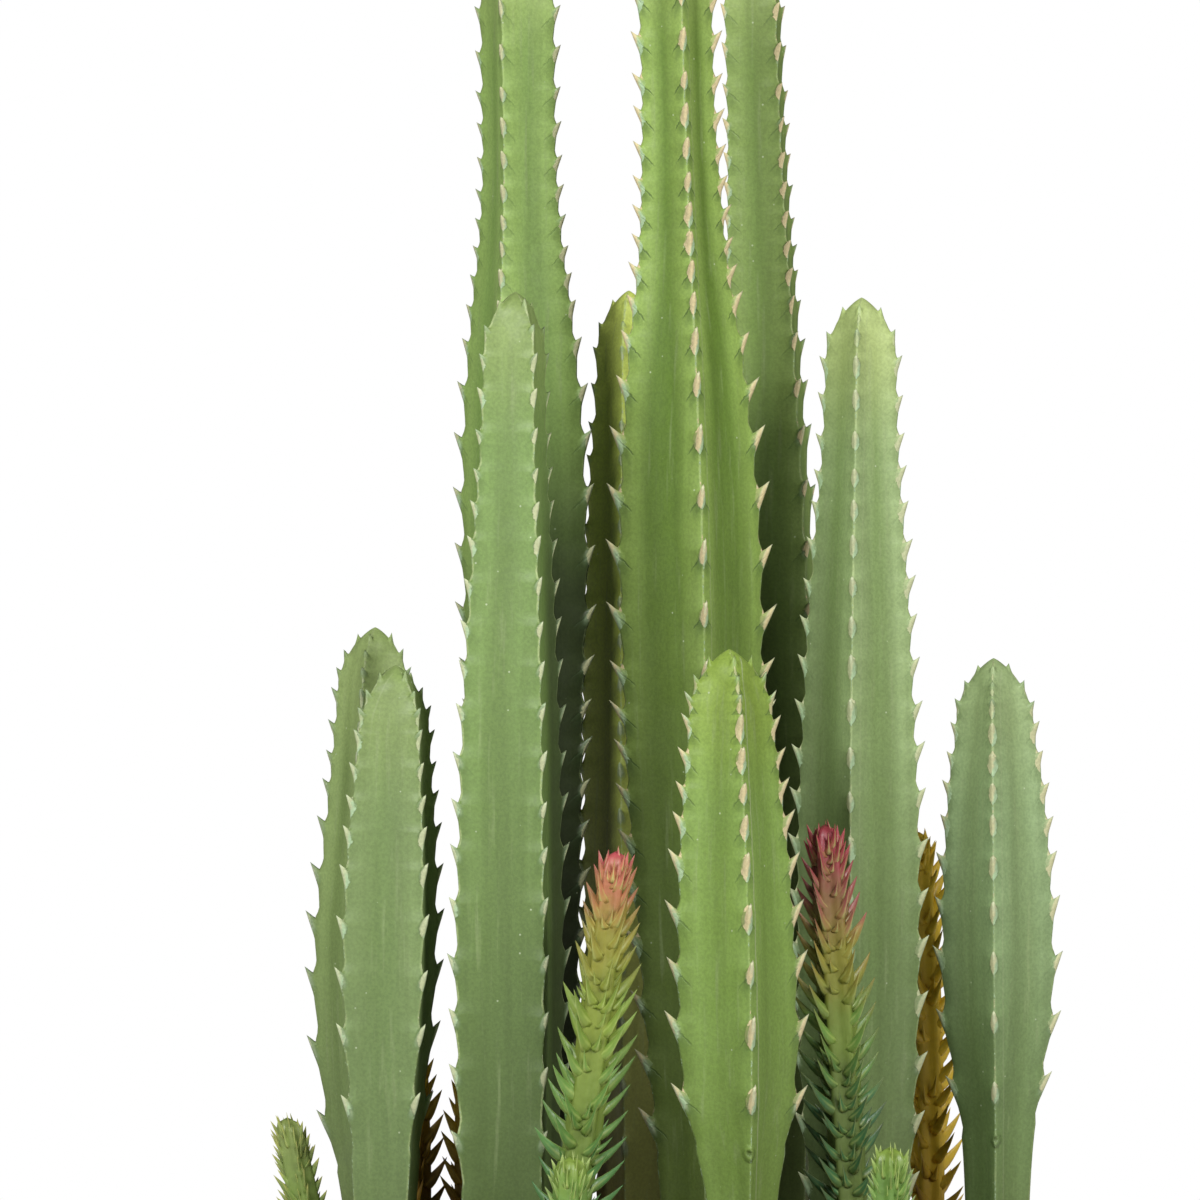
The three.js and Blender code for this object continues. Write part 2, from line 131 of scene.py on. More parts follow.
paper = bpy.data.worlds.new("white_paper")
bpy.context.scene.world = paper
paper.use_nodes = True
tree = paper.node_tree
tree.nodes.clear()
kinds = ("LightPath", "Background", "Background", "MixShader", "OutputWorld")
ray, bounced, seen, either, output = (tree.nodes.new("ShaderNode" + kind) for kind in kinds)
for background, strength in ((bounced, BOUNCE), (seen, 1)):
    background.inputs["Color"].default_value = (1, 1, 1, 1)
    background.inputs["Strength"].default_value = strength
tree.links.new(ray.outputs["Is Camera Ray"], either.inputs[0])
tree.links.new(bounced.outputs[0], either.inputs[1])
tree.links.new(seen.outputs[0], either.inputs[2])
tree.links.new(either.outputs[0], output.inputs["Surface"])
print("two lamps of", LAMP_WATTS, "W and surroundings that send back", BOUNCE)

# %% [markdown]
# ## From arrays to a mesh
# Every piece below is worked out as whole arrays of points and of faces. This helper hands them to
# Blender in bulk, which is far quicker than adding one vertex at a time. Paint values belong to a
# face's corners rather than to points, so a value may jump from one face to the next, as it must
# in the middle between two ribs.

# %% Mesh helper
def make_piece(name, points, faces, material, node, corners=None):
    """A mesh object from points in millimetres and a list of face arrays, with corner paint values."""
    mesh = bpy.data.meshes.new(name)
    index = np.concatenate([block.ravel() for block in faces])
    sizes = np.concatenate([np.full(len(block), block.shape[1]) for block in faces])
    mesh.vertices.add(len(points))
    mesh.vertices.foreach_set("co", (np.asarray(points) * MM).astype(np.float32).ravel())
    mesh.loops.add(len(index))
    mesh.loops.foreach_set("vertex_index", index.astype(np.int32))
    mesh.polygons.add(len(sizes))
    mesh.polygons.foreach_set("loop_start", (np.cumsum(sizes) - sizes).astype(np.int32))
    mesh.update(calc_edges=True)
    for label, values in (corners or {}).items():
        layer = mesh.attributes.new(label, "FLOAT_VECTOR", "CORNER")
        layer.data.foreach_set("vector", values.astype(np.float32).ravel())
    mesh.shade_smooth()
    mesh.materials.append(material)
    made = bpy.data.objects.new(name, mesh)
    bpy.context.scene.collection.objects.link(made)
    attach(made, "root")
    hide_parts(node)
    triangles = int((sizes - 2).sum())
    lowest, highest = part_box(node)
    own = np.asarray(points) * MM
    apart = max(np.abs(own.min(0) - lowest).max(), np.abs(own.max(0) - highest).max())
    print(name, triangles, "triangles,", round(apart * 1000, 1), "mm from the measured box at most")


def grid_faces(rows, columns):
    """Squares between neighbouring rows of a closed ring of columns, turned to face outwards."""
    row, column = np.mgrid[0:rows - 1, 0:columns]
    after = (column + 1) % columns
    corners = [row * columns + column, row * columns + after]
    corners += [(row + 1) * columns + after, (row + 1) * columns + column]
    return np.stack(corners, axis=-1).reshape(-1, 4)


def fan_faces(first, columns, middle, upward):
    """Triangles from a ring of points to one point in its middle."""
    start = first + np.arange(columns)
    after = first + (np.arange(columns) + 1) % columns
    ring = (start, after) if upward else (after, start)
    return np.stack([*ring, np.full(columns, middle)], axis=-1)


def closed_faces(rows, columns):
    """A grid with a fan over each end, round the two points that come after the grid's own."""
    return [
        grid_faces(rows, columns),
        fan_faces(0, columns, rows * columns, upward=False),
        fan_faces((rows - 1) * columns, columns, rows * columns + 1, upward=True),
    ]


def together(*parts):
    """Arrays side by side on a new last axis, each stretched to the shape of them all."""
    return np.stack(np.broadcast_arrays(*parts), axis=-1)


def around(x, y, reach, direction, z):
    """Points at a reach from an axis through x and y, in a direction, at a height."""
    return together(x + reach * np.cos(direction), y + reach * np.sin(direction), z)


def full_turn(count):
    """Angles that share a full turn evenly."""
    return np.arange(count) / count * 2 * math.pi


# %% [markdown]
# ## Laying shader nodes
# A finish is a small chain of nodes: where is this spot, how much of each colour lies there, and
# what does it come to. Wiring that by hand takes many lines. Here a node's result is a value that
# can be added and multiplied like a number, and a finish is a base colour under coats of others.

# %% Shader helper
def colour(red, green, blue):
    """A colour as a paint chart gives it, 0 to 255, turned into the linear light that Blender mixes."""
    share = np.array([red, green, blue]) / 255
    linear = np.where(share <= 0.04045, share / 12.92, ((share + 0.055) / 1.055) ** 2.4)
    return (*linear, 1.0)


class Value:
    """What one node works out for each spot. Arithmetic with values lays the nodes that do it."""

    def __init__(self, finish, socket):
        self.finish = finish
        self.socket = socket

    def maths(self, operation, *others):
        sockets = dict(enumerate((self, *others)))
        return self.finish.node("ShaderNodeMath", sockets, operation=operation)

    __add__ = partialmethod(maths, "ADD")
    __sub__ = partialmethod(maths, "SUBTRACT")
    __mul__ = partialmethod(maths, "MULTIPLY")
    __truediv__ = partialmethod(maths, "DIVIDE")
    __pow__ = partialmethod(maths, "POWER")
    __abs__ = partialmethod(maths, "ABSOLUTE")

    def __rsub__(self, other):
        return self.finish.node("ShaderNodeMath", {0: other, 1: self}, operation="SUBTRACT")

    def ease(self, start, end, to_start=0.0, to_end=1.0):
        """Runs smoothly from to_start to to_end while the value goes from start to end."""
        sockets = {"Value": self, "From Min": start, "From Max": end, "To Min": to_start, "To Max": to_end}
        return self.finish.node("ShaderNodeMapRange", sockets, interpolation_type="SMOOTHSTEP")


class Finish:
    """A material under construction: a base colour built up in coats, and a relief in layers."""

    def __init__(self, name, base):
        self.material = bpy.data.materials.new(name)
        self.material.use_nodes = True
        self.tree = self.material.node_tree
        self.surface = self.tree.nodes["Principled BSDF"]
        self.place = self.node("ShaderNodeTexCoord", {}, "Object")
        self.base = base
        self.relief = None

    def node(self, kind, sockets, result=0, **settings):
        """Lays a node, fills its sockets with numbers or values, and returns one of its results as
        a value, or all of them where the result is None."""
        made = self.tree.nodes.new(kind)
        for key, value in settings.items():
            setattr(made, key, value)
        for key, value in sockets.items():
            self.fill(made.inputs[key], value)
        if result is None:
            return [Value(self, socket) for socket in made.outputs]
        return Value(self, made.outputs[result])

    def fill(self, socket, value):
        if isinstance(value, Value):
            self.tree.links.new(value.socket, socket)
        else:
            socket.default_value = value

    def stretched(self, x, y, z):
        """The spot's place with each direction stretched, so that a pattern runs along one of them."""
        return self.node("ShaderNodeMapping", {"Vector": self.place, "Scale": (x, y, z)})

    def noise(self, scale, detail=2.0, roughness=0.5, vector=None):
        sockets = {"Vector": vector or self.place, "Scale": scale, "Detail": detail, "Roughness": roughness}
        return self.node("ShaderNodeTexNoise", sockets)

    def vectors(self, operation, other, result="Value", vector=None):
        """Vector maths between the spot's place, or another vector, and one more vector."""
        sockets = {0: vector or self.place, 1: other}
        return self.node("ShaderNodeVectorMath", sockets, result, operation=operation)

    def attribute(self, label):
        """The three numbers of a corner value, as separate values."""
        read = self.node("ShaderNodeAttribute", {}, "Vector", attribute_name=label)
        return self.node("ShaderNodeSeparateXYZ", {0: read}, None)

    def height(self):
        """The spot's height above the soil, in millimetres."""
        return self.node("ShaderNodeSeparateXYZ", {0: self.place}, 2) * (1 / MM) - SOIL_Z

    def blend(self, share, first, second, how="MIX"):
        sockets = {0: share, 6: first, 7: second}
        return self.node("ShaderNodeMix", sockets, 2, data_type="RGBA", blend_type=how)

    def coat(self, share, over, how="MIX"):
        """Covers a share of the base colour with another."""
        self.base = self.blend(share, self.base, over, how)

    def mottle(self, pattern, dark, light):
        """Multiplies the base colour by dark, light or what lies between, as the pattern says."""
        self.coat(1.0, self.blend(pattern, (*dark, 1), (*light, 1)), "MULTIPLY")

    def emboss(self, height, distance_mm, strength):
        """Raises the surface with the height, on top of the relief that is already there."""
        sockets = {"Height": height, "Distance": distance_mm * MM, "Strength": strength}
        if self.relief:
            sockets["Normal"] = self.relief
        self.relief = self.node("ShaderNodeBump", sockets)

    def done(self, roughness):
        self.fill(self.surface.inputs["Base Color"], self.base)
        self.fill(self.surface.inputs["Roughness"], roughness)
        if self.relief:
            self.fill(self.surface.inputs["Normal"], self.relief)
        return self.material


# %% [markdown]
# ## Six kinds of stem
# The columns come in three sizes and the shoots in three. A kind says how many ribs it has, how
# hollow its faces are, how its top rounds off, and how its teeth stand: the gap from one to the
# next, their length and their tilt, each given at a few depths below the top. A tall column has
# teeth 10 mm apart at its slim neck and 21 mm apart on its belly. One could trace every tooth,
# but a rhythm of depths gives each rib its own slightly different row.

# %% Kinds of stem
Kind = namedtuple("Kind", "ribs valley dome taper first root spiral bare pitch length tilt")

TALL = Kind(
    4, 0.64, 22, 0.8, 2.5, 0.35, 0, 55,
    pitch=[(0, 7), (12, 11), (30, 15), (48, 16), (62, 12.4), (95, 11.6), (127, 9.6), (148, 15),
           (175, 17.6), (192, 21.5), (245, 21.5), (290, 13.3), (335, 18), (440, 25)],
    length=[(0, 3.2), (140, 3.4), (190, 5.4), (440, 5.8)],
    tilt=[(0, 82), (20, 46), (440, 42)],
)
MIDDLE = Kind(
    4, 0.64, 22, 0.8, 3, 0.35, 0, 45,
    pitch=[(0, 8), (12, 10), (26, 14.5), (60, 12), (80, 13.5), (120, 15), (200, 18), (330, 25)],
    length=[(0, 3.4), (60, 3.6), (120, 5), (330, 5.6)],
    tilt=[(0, 82), (20, 48), (330, 42)],
)
SHORT = Kind(
    4, 0.64, 22, 0.8, 2, 0.33, 0, 62,
    pitch=[(0, 6), (13, 7), (22, 11), (46, 11.5), (60, 14), (75, 18), (110, 21.5), (150, 27)],
    length=[(0, 3.2), (50, 4), (90, 5.4), (170, 5.6)],
    tilt=[(0, 82), (18, 50), (170, 45)],
)
PINK_SHOOT = Kind(
    5, 0.7, 12, 0.6, 1, 0.95, 0.4, 20,
    pitch=[(0, 5), (20, 6.5), (60, 8.5), (170, 9.5)],
    length=[(0, 7), (30, 9.5), (70, 11.5), (170, 12)],
    tilt=[(0, 84), (14, 62), (60, 45), (100, 32), (170, 28)],
)
GREEN_SHOOT = Kind(
    6, 0.78, 9, 0.6, 1, 0.95, 0.4, 13,
    pitch=[(0, 4), (15, 5.2), (60, 6)],
    length=[(0, 5), (20, 6), (60, 6.5)],
    tilt=[(0, 84), (10, 60), (60, 38)],
)
BRONZE_SHOOT = Kind(
    5, 0.66, 12, 0.6, 1, 0.95, 0.4, 22,
    pitch=[(0, 5), (20, 7.5), (60, 9.5), (170, 11)],
    length=[(0, 6), (30, 8.5), (80, 10), (170, 11)],
    tilt=[(0, 84), (14, 60), (60, 42), (170, 26)],
)

# %% [markdown]
# ## Eighteen stems
# Each stem has a place in plan at the soil and at its top, a bow between them, a height above the
# soil, the number of degrees its front rib is turned to the right, and how large its teeth are. The
# girth table gives how far the ribs stand from the axis at a few heights: thin at the foot, widest
# at the belly, and drawn in to a neck near the top.

# %% The stems
Stem = namedtuple("Stem", "name kind foot tip bow height turn bite girth")

STEMS = [
    Stem("column_tall_left", TALL, (-46.5, 58), (-53.5, 58), 0, 506, -22, 0.7,
         [(0, 12), (45, 15), (110, 19.4), (216, 23), (242, 24.4), (267, 25.2), (308, 24.6), (330, 23.2),
          (348, 21.4), (363, 19.8), (378, 17.7), (393, 16.2), (415, 15.1), (450, 15.1), (506, 15)]),
    Stem("column_tall_centre", TALL, (13.5, 0), (3.5, -2), 2, 506, 9, 1,
         [(0, 12), (36, 14), (108, 20), (170, 24), (216, 25.6), (252, 26.2), (290, 25.4), (324, 22.6),
          (344, 20.7), (360, 18.3), (380, 16), (403, 14.7), (430, 13.7), (506, 14.2)]),
    Stem("column_tall_right", TALL, (46, 72), (33.5, 70), 1, 508, 38, 0.65,
         [(0, 12), (45, 14.5), (110, 19), (200, 22.6), (288, 21.3), (328, 19.2), (363, 17.4),
          (386, 15.9), (430, 14.2), (508, 13.6)]),
    Stem("column_middle_left", MIDDLE, (-53.5, -52), (-52, -52), -1, 360, 33, 0.6,
         [(0, 15), (42, 20), (85, 22), (130, 22.6), (160, 21.8), (200, 20.7), (245, 18.3), (275, 16.2),
          (300, 14.4), (326, 13.3), (360, 12.6)]),
    Stem("column_middle_rear", MIDDLE, (-10, 84), (-11.5, 82), 0, 368, -12, 0.5,
         [(0, 12), (50, 15), (130, 18.4), (240, 17.6), (291, 16), (326, 13.4), (368, 11.6)]),
    Stem("column_middle_right", MIDDLE, (71.5, 4), (72, 2), -1, 361, -10, 0.65,
         [(0, 14), (50, 19.4), (90, 21.6), (130, 22.6), (176, 22.2), (201, 21), (245, 18.8),
          (274, 16.8), (292, 15.2), (310, 14.1), (361, 12.4)]),
    Stem("column_short_front", SHORT, (28, -76), (22.5, -76), 0, 235, 11, 0.95,
         [(0, 10), (30, 11), (48, 13.2), (58, 15.2), (72, 18.4), (88, 20.7), (106, 21.4), (134, 20.9),
          (164, 19.6), (190, 17.2), (210, 15.2), (235, 13.8)]),
    Stem("column_short_left_rear", SHORT, (-103, 44), (-105, 44), -4, 242, -14, 0.75,
         [(0, 10), (38, 13.8), (68, 18.4), (98, 20.4), (125, 20.2), (150, 18.3), (175, 16.1),
          (210, 13.9), (242, 13)]),
    Stem("column_short_left_front", SHORT, (-98.8, -40), (-94.5, -40), 0, 229, 37, 0.75,
         [(0, 11), (40, 13.6), (67, 15.6), (90, 18), (115, 20), (140, 20.2), (171, 18.8), (190, 16.8),
          (229, 13.4)]),
    Stem("column_short_right", SHORT, (121, 8), (120, 8), 1, 231, -8, 0.6,
         [(0, 10.5), (40, 11.9), (57, 13), (71, 14.8), (89, 18), (107, 20), (130, 20.4), (158, 19.4),
          (187, 17.1), (201, 14.9), (231, 12.6)]),
    Stem("shoot_pink_centre", PINK_SHOOT, (-39, -96), (-16.5, -96), 1.5, 168, 30, 1,
         [(0, 5.5), (40, 6.6), (110, 7), (140, 6.2), (168, 5)]),
    Stem("shoot_pink_right", PINK_SHOOT, (68.5, -42), (57, -42), 0, 175, 38, 1,
         [(0, 5.5), (40, 6.6), (110, 7.2), (145, 6.6), (175, 5.4)]),
    Stem("shoot_green_far_left", GREEN_SHOOT, (-120, -22), (-134, -24), 0, 70, 10, 1,
         [(0, 5.2), (30, 6.2), (70, 5)]),
    Stem("shoot_green_right", GREEN_SHOOT, (78, -90), (77.5, -90), 0, 66, 0, 1,
         [(0, 5.5), (30, 7.2), (66, 5.6)]),
    Stem("shoot_green_centre", GREEN_SHOOT, (-34, -121), (-32, -121), 0, 66, 20, 1,
         [(0, 5.2), (30, 6.6), (66, 5.4)]),
    Stem("shoot_bronze_right", BRONZE_SHOOT, (100, 62), (96, 62), 1, 168, -30, 1,
         [(0, 5.5), (40, 6.6), (110, 6.6), (168, 5)]),
    Stem("shoot_bronze_left", BRONZE_SHOOT, (-90, 6), (-90, 6), 0, 96, 20, 1,
         [(0, 5.5), (40, 6.8), (96, 5.2)]),
    Stem("shoot_bronze_inner", BRONZE_SHOOT, (-67, -4), (-69, -4), 0, 84, -15, 1,
         [(0, 5.5), (40, 6.6), (84, 5.2)]),
]
print("stems:", len(STEMS), "tallest", max(stem.height for stem in STEMS), "mm above the soil")

# %% [markdown]
# ## The form of a stem
# A stem is a bent axis with a ribbed outline round it. These functions give its axis, its front, how
# far its ribs stand out, and its teeth. A smooth curve through the girth table, rather than straight
# lines, keeps the belly free of kinks.

# %% Axis, girth and teeth
CROWN_DEPTH = 1.5
NOTCH_BELOW_CROWN = 0.6
TOOTH_WOBBLE = 0.05
WOBBLE_PER_TOOTH = 1.7
WOBBLE_PER_RIB = 2.3
FOOT_ROUNDING = 30.0


def smoothstep(value):
    """An even start and stop between 0 and 1: three times the square less twice the cube."""
    share = np.clip(value, 0, 1)
    return share * share * (3 - 2 * share)


def along(pairs, at):
    """The value at a place between pairs of place and value, along straight lines."""
    place, value = np.array(pairs, float).T
    return np.interp(at, place, value)


def smooth_along(pairs, at):
    """The same along a smooth curve: between two neighbours a cubic, whose slope at each of them
    is that of the straight line joining the pairs on either side of it."""
    place, value = np.array(pairs, float).T
    count = np.arange(len(place))
    before, after = np.maximum(count - 1, 0), np.minimum(count + 1, len(place) - 1)
    slope = (value[after] - value[before]) / (place[after] - place[before])
    x = np.clip(at, place[0], place[-1])
    i = np.clip(np.searchsorted(place, x, side="right") - 1, 0, len(place) - 2)
    span = place[i + 1] - place[i]
    t = (x - place[i]) / span
    rise = (value[i + 1] - value[i]) * t * t * (3 - 2 * t)
    leave = slope[i] * t * (1 - t) ** 2 * span
    arrive = slope[i + 1] * t * t * (t - 1) * span
    return value[i] + rise + leave + arrive


def axis_at(stem, height):
    """The axis runs straight from foot to tip, plus a bow that follows half a sine wave."""
    share = np.clip(height / stem.height, 0, 1)
    x = stem.foot[0] + (stem.tip[0] - stem.foot[0]) * share + stem.bow * np.sin(math.pi * share)
    y = stem.foot[1] + (stem.tip[1] - stem.foot[1]) * share
    return x, y

def front_of(stem):
    """The direction that the stem's front rib faces."""
    return FRONT + math.radians(stem.turn)


def end_points(stem, top):
    """The points on the axis that close a stem's skin, at the end of its root and at its top."""
    return [(*axis_at(stem, 0), SOIL_Z - ROOT_DEPTH), (*axis_at(stem, top), SOIL_Z + top)]


def crest_radius(stem, height):
    """The girth at a height, drawn in near the top: a parabola of the depth raised to the taper."""
    depth = np.clip((stem.height - height) / stem.kind.dome, 0, 1)
    return smooth_along(stem.girth, height) * (1 - (1 - depth) ** 2) ** stem.kind.taper


def teeth_of(stem, rib):
    """Rows of root, notch and tip heights and of the tips' reach, for one rib from the lowest tooth
    up. Depths add up gap by gap from the top, and a sine of the tooth's number unsettles them."""
    kind = stem.kind
    depth = kind.first + (rib * kind.spiral) % 1 * along(kind.pitch, kind.first)
    rows = []
    while depth < stem.height - kind.bare:
        gap = along(kind.pitch, depth)
        length = along(kind.length, depth) * stem.bite
        tilt = math.radians(along(kind.tilt, depth))
        phase = WOBBLE_PER_TOOTH * len(rows) + WOBBLE_PER_RIB * rib + stem.height
        tip = stem.height - depth + TOOTH_WOBBLE * gap * math.sin(phase)
        notch = min(tip - length * math.sin(tilt), stem.height - CROWN_DEPTH - NOTCH_BELOW_CROWN)
        rows.append((notch - gap * kind.root, notch, tip, length * math.cos(tilt)))
        depth += gap
    return np.array(rows[::-1]).T


print("teeth on a rib of the tall centre column:", teeth_of(STEMS[1], 0).shape[1])

# %% [markdown]
# ## A column's skin
# On the plant the tooth isn't stuck on: the rib swells, runs out into a hook and drops back into a
# notch. So the skin is one grid of rows and columns wrapped round the stem. Grid columns crowd
# together at each rib's crest, and rows at each tooth. The points on the crest are then pulled
# outwards and upwards, most in the middle, which draws a thorn out of the rib. Modelling a thorn
# apart and joining it would leave a seam there.

# %% Column skin
CREST_OFFSETS = np.array([0, 0.5, 0.95, 1.35, 1.9, 2.8])
FACE_SHARES = np.array([0.16, 0.36, 0.57, 0.79, 1.0])
CLIMB_STEPS = np.array([0, 0.18, 0.36, 0.54, 0.7, 0.84, 0.94, 1.0])
CLIMB_WIDTHS = [0.35, 0.7, 0.95, 1.05, 0.95, 0.7, 0.4, 0.15]
RETURN_STEPS = np.array([0.35, 0.7, 1.0])
RETURN_WIDTHS = [0.15, 0.3, 0.4]
LEDGE_STEPS = np.array([0.07, 0.14, 0.24, 0.36, 0.5])
TOP_LEDGE = 0.3
CROWN_STEPS = np.array([0.3, 0.55, 0.75, 0.9, 0.97])
CROWN_FILL = 13.0
FOOT_STEP = 3
NOTCH_WIDTH = 0.6
THORN_WALL = 0.75
OUT_POWER = 1.35
UP_POWER = 2.0
RETURN_POWER = 1.15
THORN_SIZES = (0.88, 1.2)
SMALLEST_ROUND = 8.0
RIDGE_SHARPNESS = 6
FACE_FLATNESS = 0.75
SWELL_WIDTH = 4.2
SWELL = [(0, 0.6), (0.07, 0.2), (0.15, -0.5), (0.27, -0.95), (0.45, -0.55), (0.65, 0), (1, 0.6)]
FULL_SWELL_GAP = 18.0
NOTCH_PHASE = 0.7
HALF = len(CREST_OFFSETS) + len(FACE_SHARES)
SIDE = np.concatenate([-np.ones(HALF - 1), np.ones(HALF)])
STEP = np.concatenate([np.arange(HALF - 1, 0, -1), np.arange(HALF)])
NEAR = np.append(CREST_OFFSETS, 0 * FACE_SHARES)[STEP]
FAR = np.append(0 * CREST_OFFSETS, FACE_SHARES)[STEP]


def between_ends(ends, share):
    return ends[0] + (ends[1] - ends[0]) * share


def rib_rows(stem, rib, rng):
    """Rows up one rib: base height, how far the crest is pulled out and up, half the width of what
    is pulled, the phase that counts teeth, the gap between them, each tooth's own number, and how
    much the rib swells. Below a tooth's notch the pull grows as a power of the way up from its
    root; above it, the pull falls straight back to nothing."""
    root, notch, tip, reach = teeth_of(stem, rib)
    count = len(root)
    own = rng.uniform(0, 1, count)
    size = between_ends(THORN_SIZES, rng.uniform(0, 1, (count, 1)))
    gap = np.append(np.diff(notch), stem.height - notch[-1])
    reach = reach[:, None] * size
    lift = (tip - notch)[:, None] * size
    climb = root[:, None] + (notch - root)[:, None] * CLIMB_STEPS
    back = notch[:, None] + NOTCH_WIDTH * RETURN_STEPS
    ledge_top = notch + np.append(gap[:-1], gap[-1] * TOP_LEDGE)
    ledge = back[:, -1:] + (ledge_top - back[:, -1])[:, None] * LEDGE_STEPS
    out = np.hstack([reach * CLIMB_STEPS ** OUT_POWER, reach * (1 - RETURN_STEPS), 0 * ledge])
    up = np.hstack([lift * CLIMB_STEPS ** UP_POWER, lift * (1 - RETURN_STEPS) ** RETURN_POWER, 0 * ledge])
    wide = np.tile(CLIMB_WIDTHS + RETURN_WIDTHS + RETURN_WIDTHS[-1:] * len(LEDGE_STEPS), count)
    height = np.hstack([climb, back, ledge]).ravel()
    low = np.append([-ROOT_DEPTH, -ROOT_DEPTH / 2],
                    np.linspace(0, root[0], int(stem.kind.bare / FOOT_STEP))[:-1])
    high = height[-1] + (stem.height - height[-1]) * CROWN_STEPS
    height = np.concatenate([low, height, high])
    out, up, wide = (np.pad(values.ravel(), (len(low), len(high))) for values in (out, up, wide))
    phase = np.interp(height, notch, np.arange(count))
    below = height < notch[0]
    above = height > notch[-1]
    phase[below] = (height[below] - notch[0]) / gap[0]
    phase[above] = count - 1 + (height[above] - notch[-1]) / max(gap[-1], 4 * NOTCH_WIDTH)
    phase = np.clip(phase + NOTCH_PHASE, 0, count - 0.001)
    spacing = np.interp(height, notch, gap)
    swell = along(SWELL, (phase - NOTCH_PHASE) % 1) * np.clip(spacing / FULL_SWELL_GAP, 0, 1)
    swell[above | (below & (phase <= 0))] = 0
    return height, out, up, wide, phase, spacing, own[phase.astype(int)], swell


def column_skin(stem):
    """Points, faces and paint values. Round the stem the radius is mostly that of a straight line
    from a rib's crest to the bottom of the valley; a quarter of it follows the valley's share plus
    the rest times a high power of the cosine of the angle from the nearest rib."""
    kind = stem.kind
    rng = np.random.default_rng(int(stem.height + 7 * stem.foot[0] ** 2))
    rows = [rib_rows(stem, rib, rng) for rib in range(kind.ribs)]
    between = math.pi / kind.ribs
    valley_x, valley_y = kind.valley * math.cos(between), kind.valley * math.sin(between)
    blend = 0.5 * smoothstep((STEP - len(CREST_OFFSETS) + 1) / len(FACE_SHARES))
    bands, paints, marks = [], [], []
    for rib, row in enumerate(rows):
        base, out, up, wide, phase, spacing, own, swell = (values[:, None] for values in row)
        left = rows[rib - 1][0][:, None]
        right = rows[(rib + 1) % kind.ribs][0][:, None]
        height = base + (np.where(SIDE < 0, left, right) - base) * blend
        radius = crest_radius(stem, height)
        scale = np.maximum(radius, SMALLEST_ROUND)
        crest_edge = CREST_OFFSETS[-1] / scale
        on_face = crest_edge + (between - crest_edge) * FAR
        angle = np.where(STEP < len(CREST_OFFSETS), NEAR / scale, on_face)
        ridge = np.abs(np.cos(angle * kind.ribs / 2)) ** RIDGE_SHARPNESS
        ribbed = smoothstep(height / FOOT_ROUNDING) * smoothstep((stem.height - height) / CROWN_FILL)
        hollow = kind.valley + (1 - kind.valley) * ridge
        flat = valley_y / (valley_y * np.cos(angle) + (1 - valley_x) * np.sin(angle))
        share = 1 + (hollow + (flat - hollow) * FACE_FLATNESS - 1) * ribbed
        aside = angle * scale
        thorn = 1 - smoothstep((aside - wide) / THORN_WALL)
        bulge = swell * np.exp(-((aside / SWELL_WIDTH) ** 2)) * ribbed
        reach = radius * share + bulge + out * thorn
        turned = front_of(stem) + rib * 2 * between + SIDE * angle
        bands.append(around(*axis_at(stem, height), reach, turned, SOIL_Z + height + up * thorn))
        paints.append(together(SIDE * angle * radius, phase, spacing))
        marks.append(together(thorn, own, out / max(out.max(), 0.1)))
    grid = np.concatenate([band[:, :-1] for band in bands], axis=1)
    count, columns = grid.shape[:2]
    points = np.concatenate([grid.reshape(-1, 3), end_points(stem, stem.height)])
    tables = []
    for table, rest in ((paints, (kind.ribs, 0, 10.0)), (marks, (0, 0, 0))):
        start = np.concatenate([paint[:, :-1] for paint in table], axis=1)
        stop = np.concatenate([paint[:, 1:] for paint in table], axis=1)
        square = np.stack([start[:-1], stop[:-1], stop[1:], start[1:]], axis=2)
        tables.append(np.concatenate([square.reshape(-1, 3), np.full((2 * columns * 3, 3), rest)]))
    return points, closed_faces(count, columns), tables


# %% [markdown]
# ## The columns' finish
# Seen close, a column's skin has many small things on it. Each tooth has a dull flank, a pale rim
# and, inside, a cream scale that turns mint on its right-hand side and may run down into a thin
# streak. A dark crease leads from under the scale into the face, the crest between teeth is worn to
# a pale line, and a dull seam runs beside the front rib. The hollow faces are darker and finely
# streaked. Towards the foot each column is darker, partly its own olive and partly painted shade, and
# low down the side that faces the clump's middle carries painted shade in dark olive. All of it is
# placed by numbers that the skin carries, in millimetres: how far a spot is from the crest, and how
# far above or below its notch. An image could be wrapped round the stem instead, but would blur up close.

# %% Column finish
CREASE = colour(58, 84, 42)
CREAM = colour(210, 194, 150)
MINT = colour(164, 190, 150)
FLANK = colour(118, 146, 106)
RIM = colour(196, 206, 172)
WORN = colour(170, 186, 128)
SEAM = colour(160, 172, 130)
SPECK = colour(200, 212, 180)
STREAK = colour(150, 164, 118)
KNOB = colour(84, 104, 50)
SHADED = colour(46, 54, 32)
CLUMP_MIDDLE = (0, 20)
SHADE_TOP, SHADE_FULL = 335, 245
CREASE_SLOPE, CREASE_BELOW = 1.15, 1.6
SEAM_ASIDE = 3.6
SCALE_MIDDLE, SCALE_REACH, SCALE_WIDTH = 2.3, 3.4, 1.5
TAIL_FOOT, TAIL_LENGTH, TAIL_WIDTH = 8.5, 7.0, 0.55
SPECKS = 260.0

LOOK_PARTS = "skin hollow low tip cream size crease worn seam rim shade knob"
Look = namedtuple("Look", LOOK_PARTS, defaults=(0.3, 0.0, None))


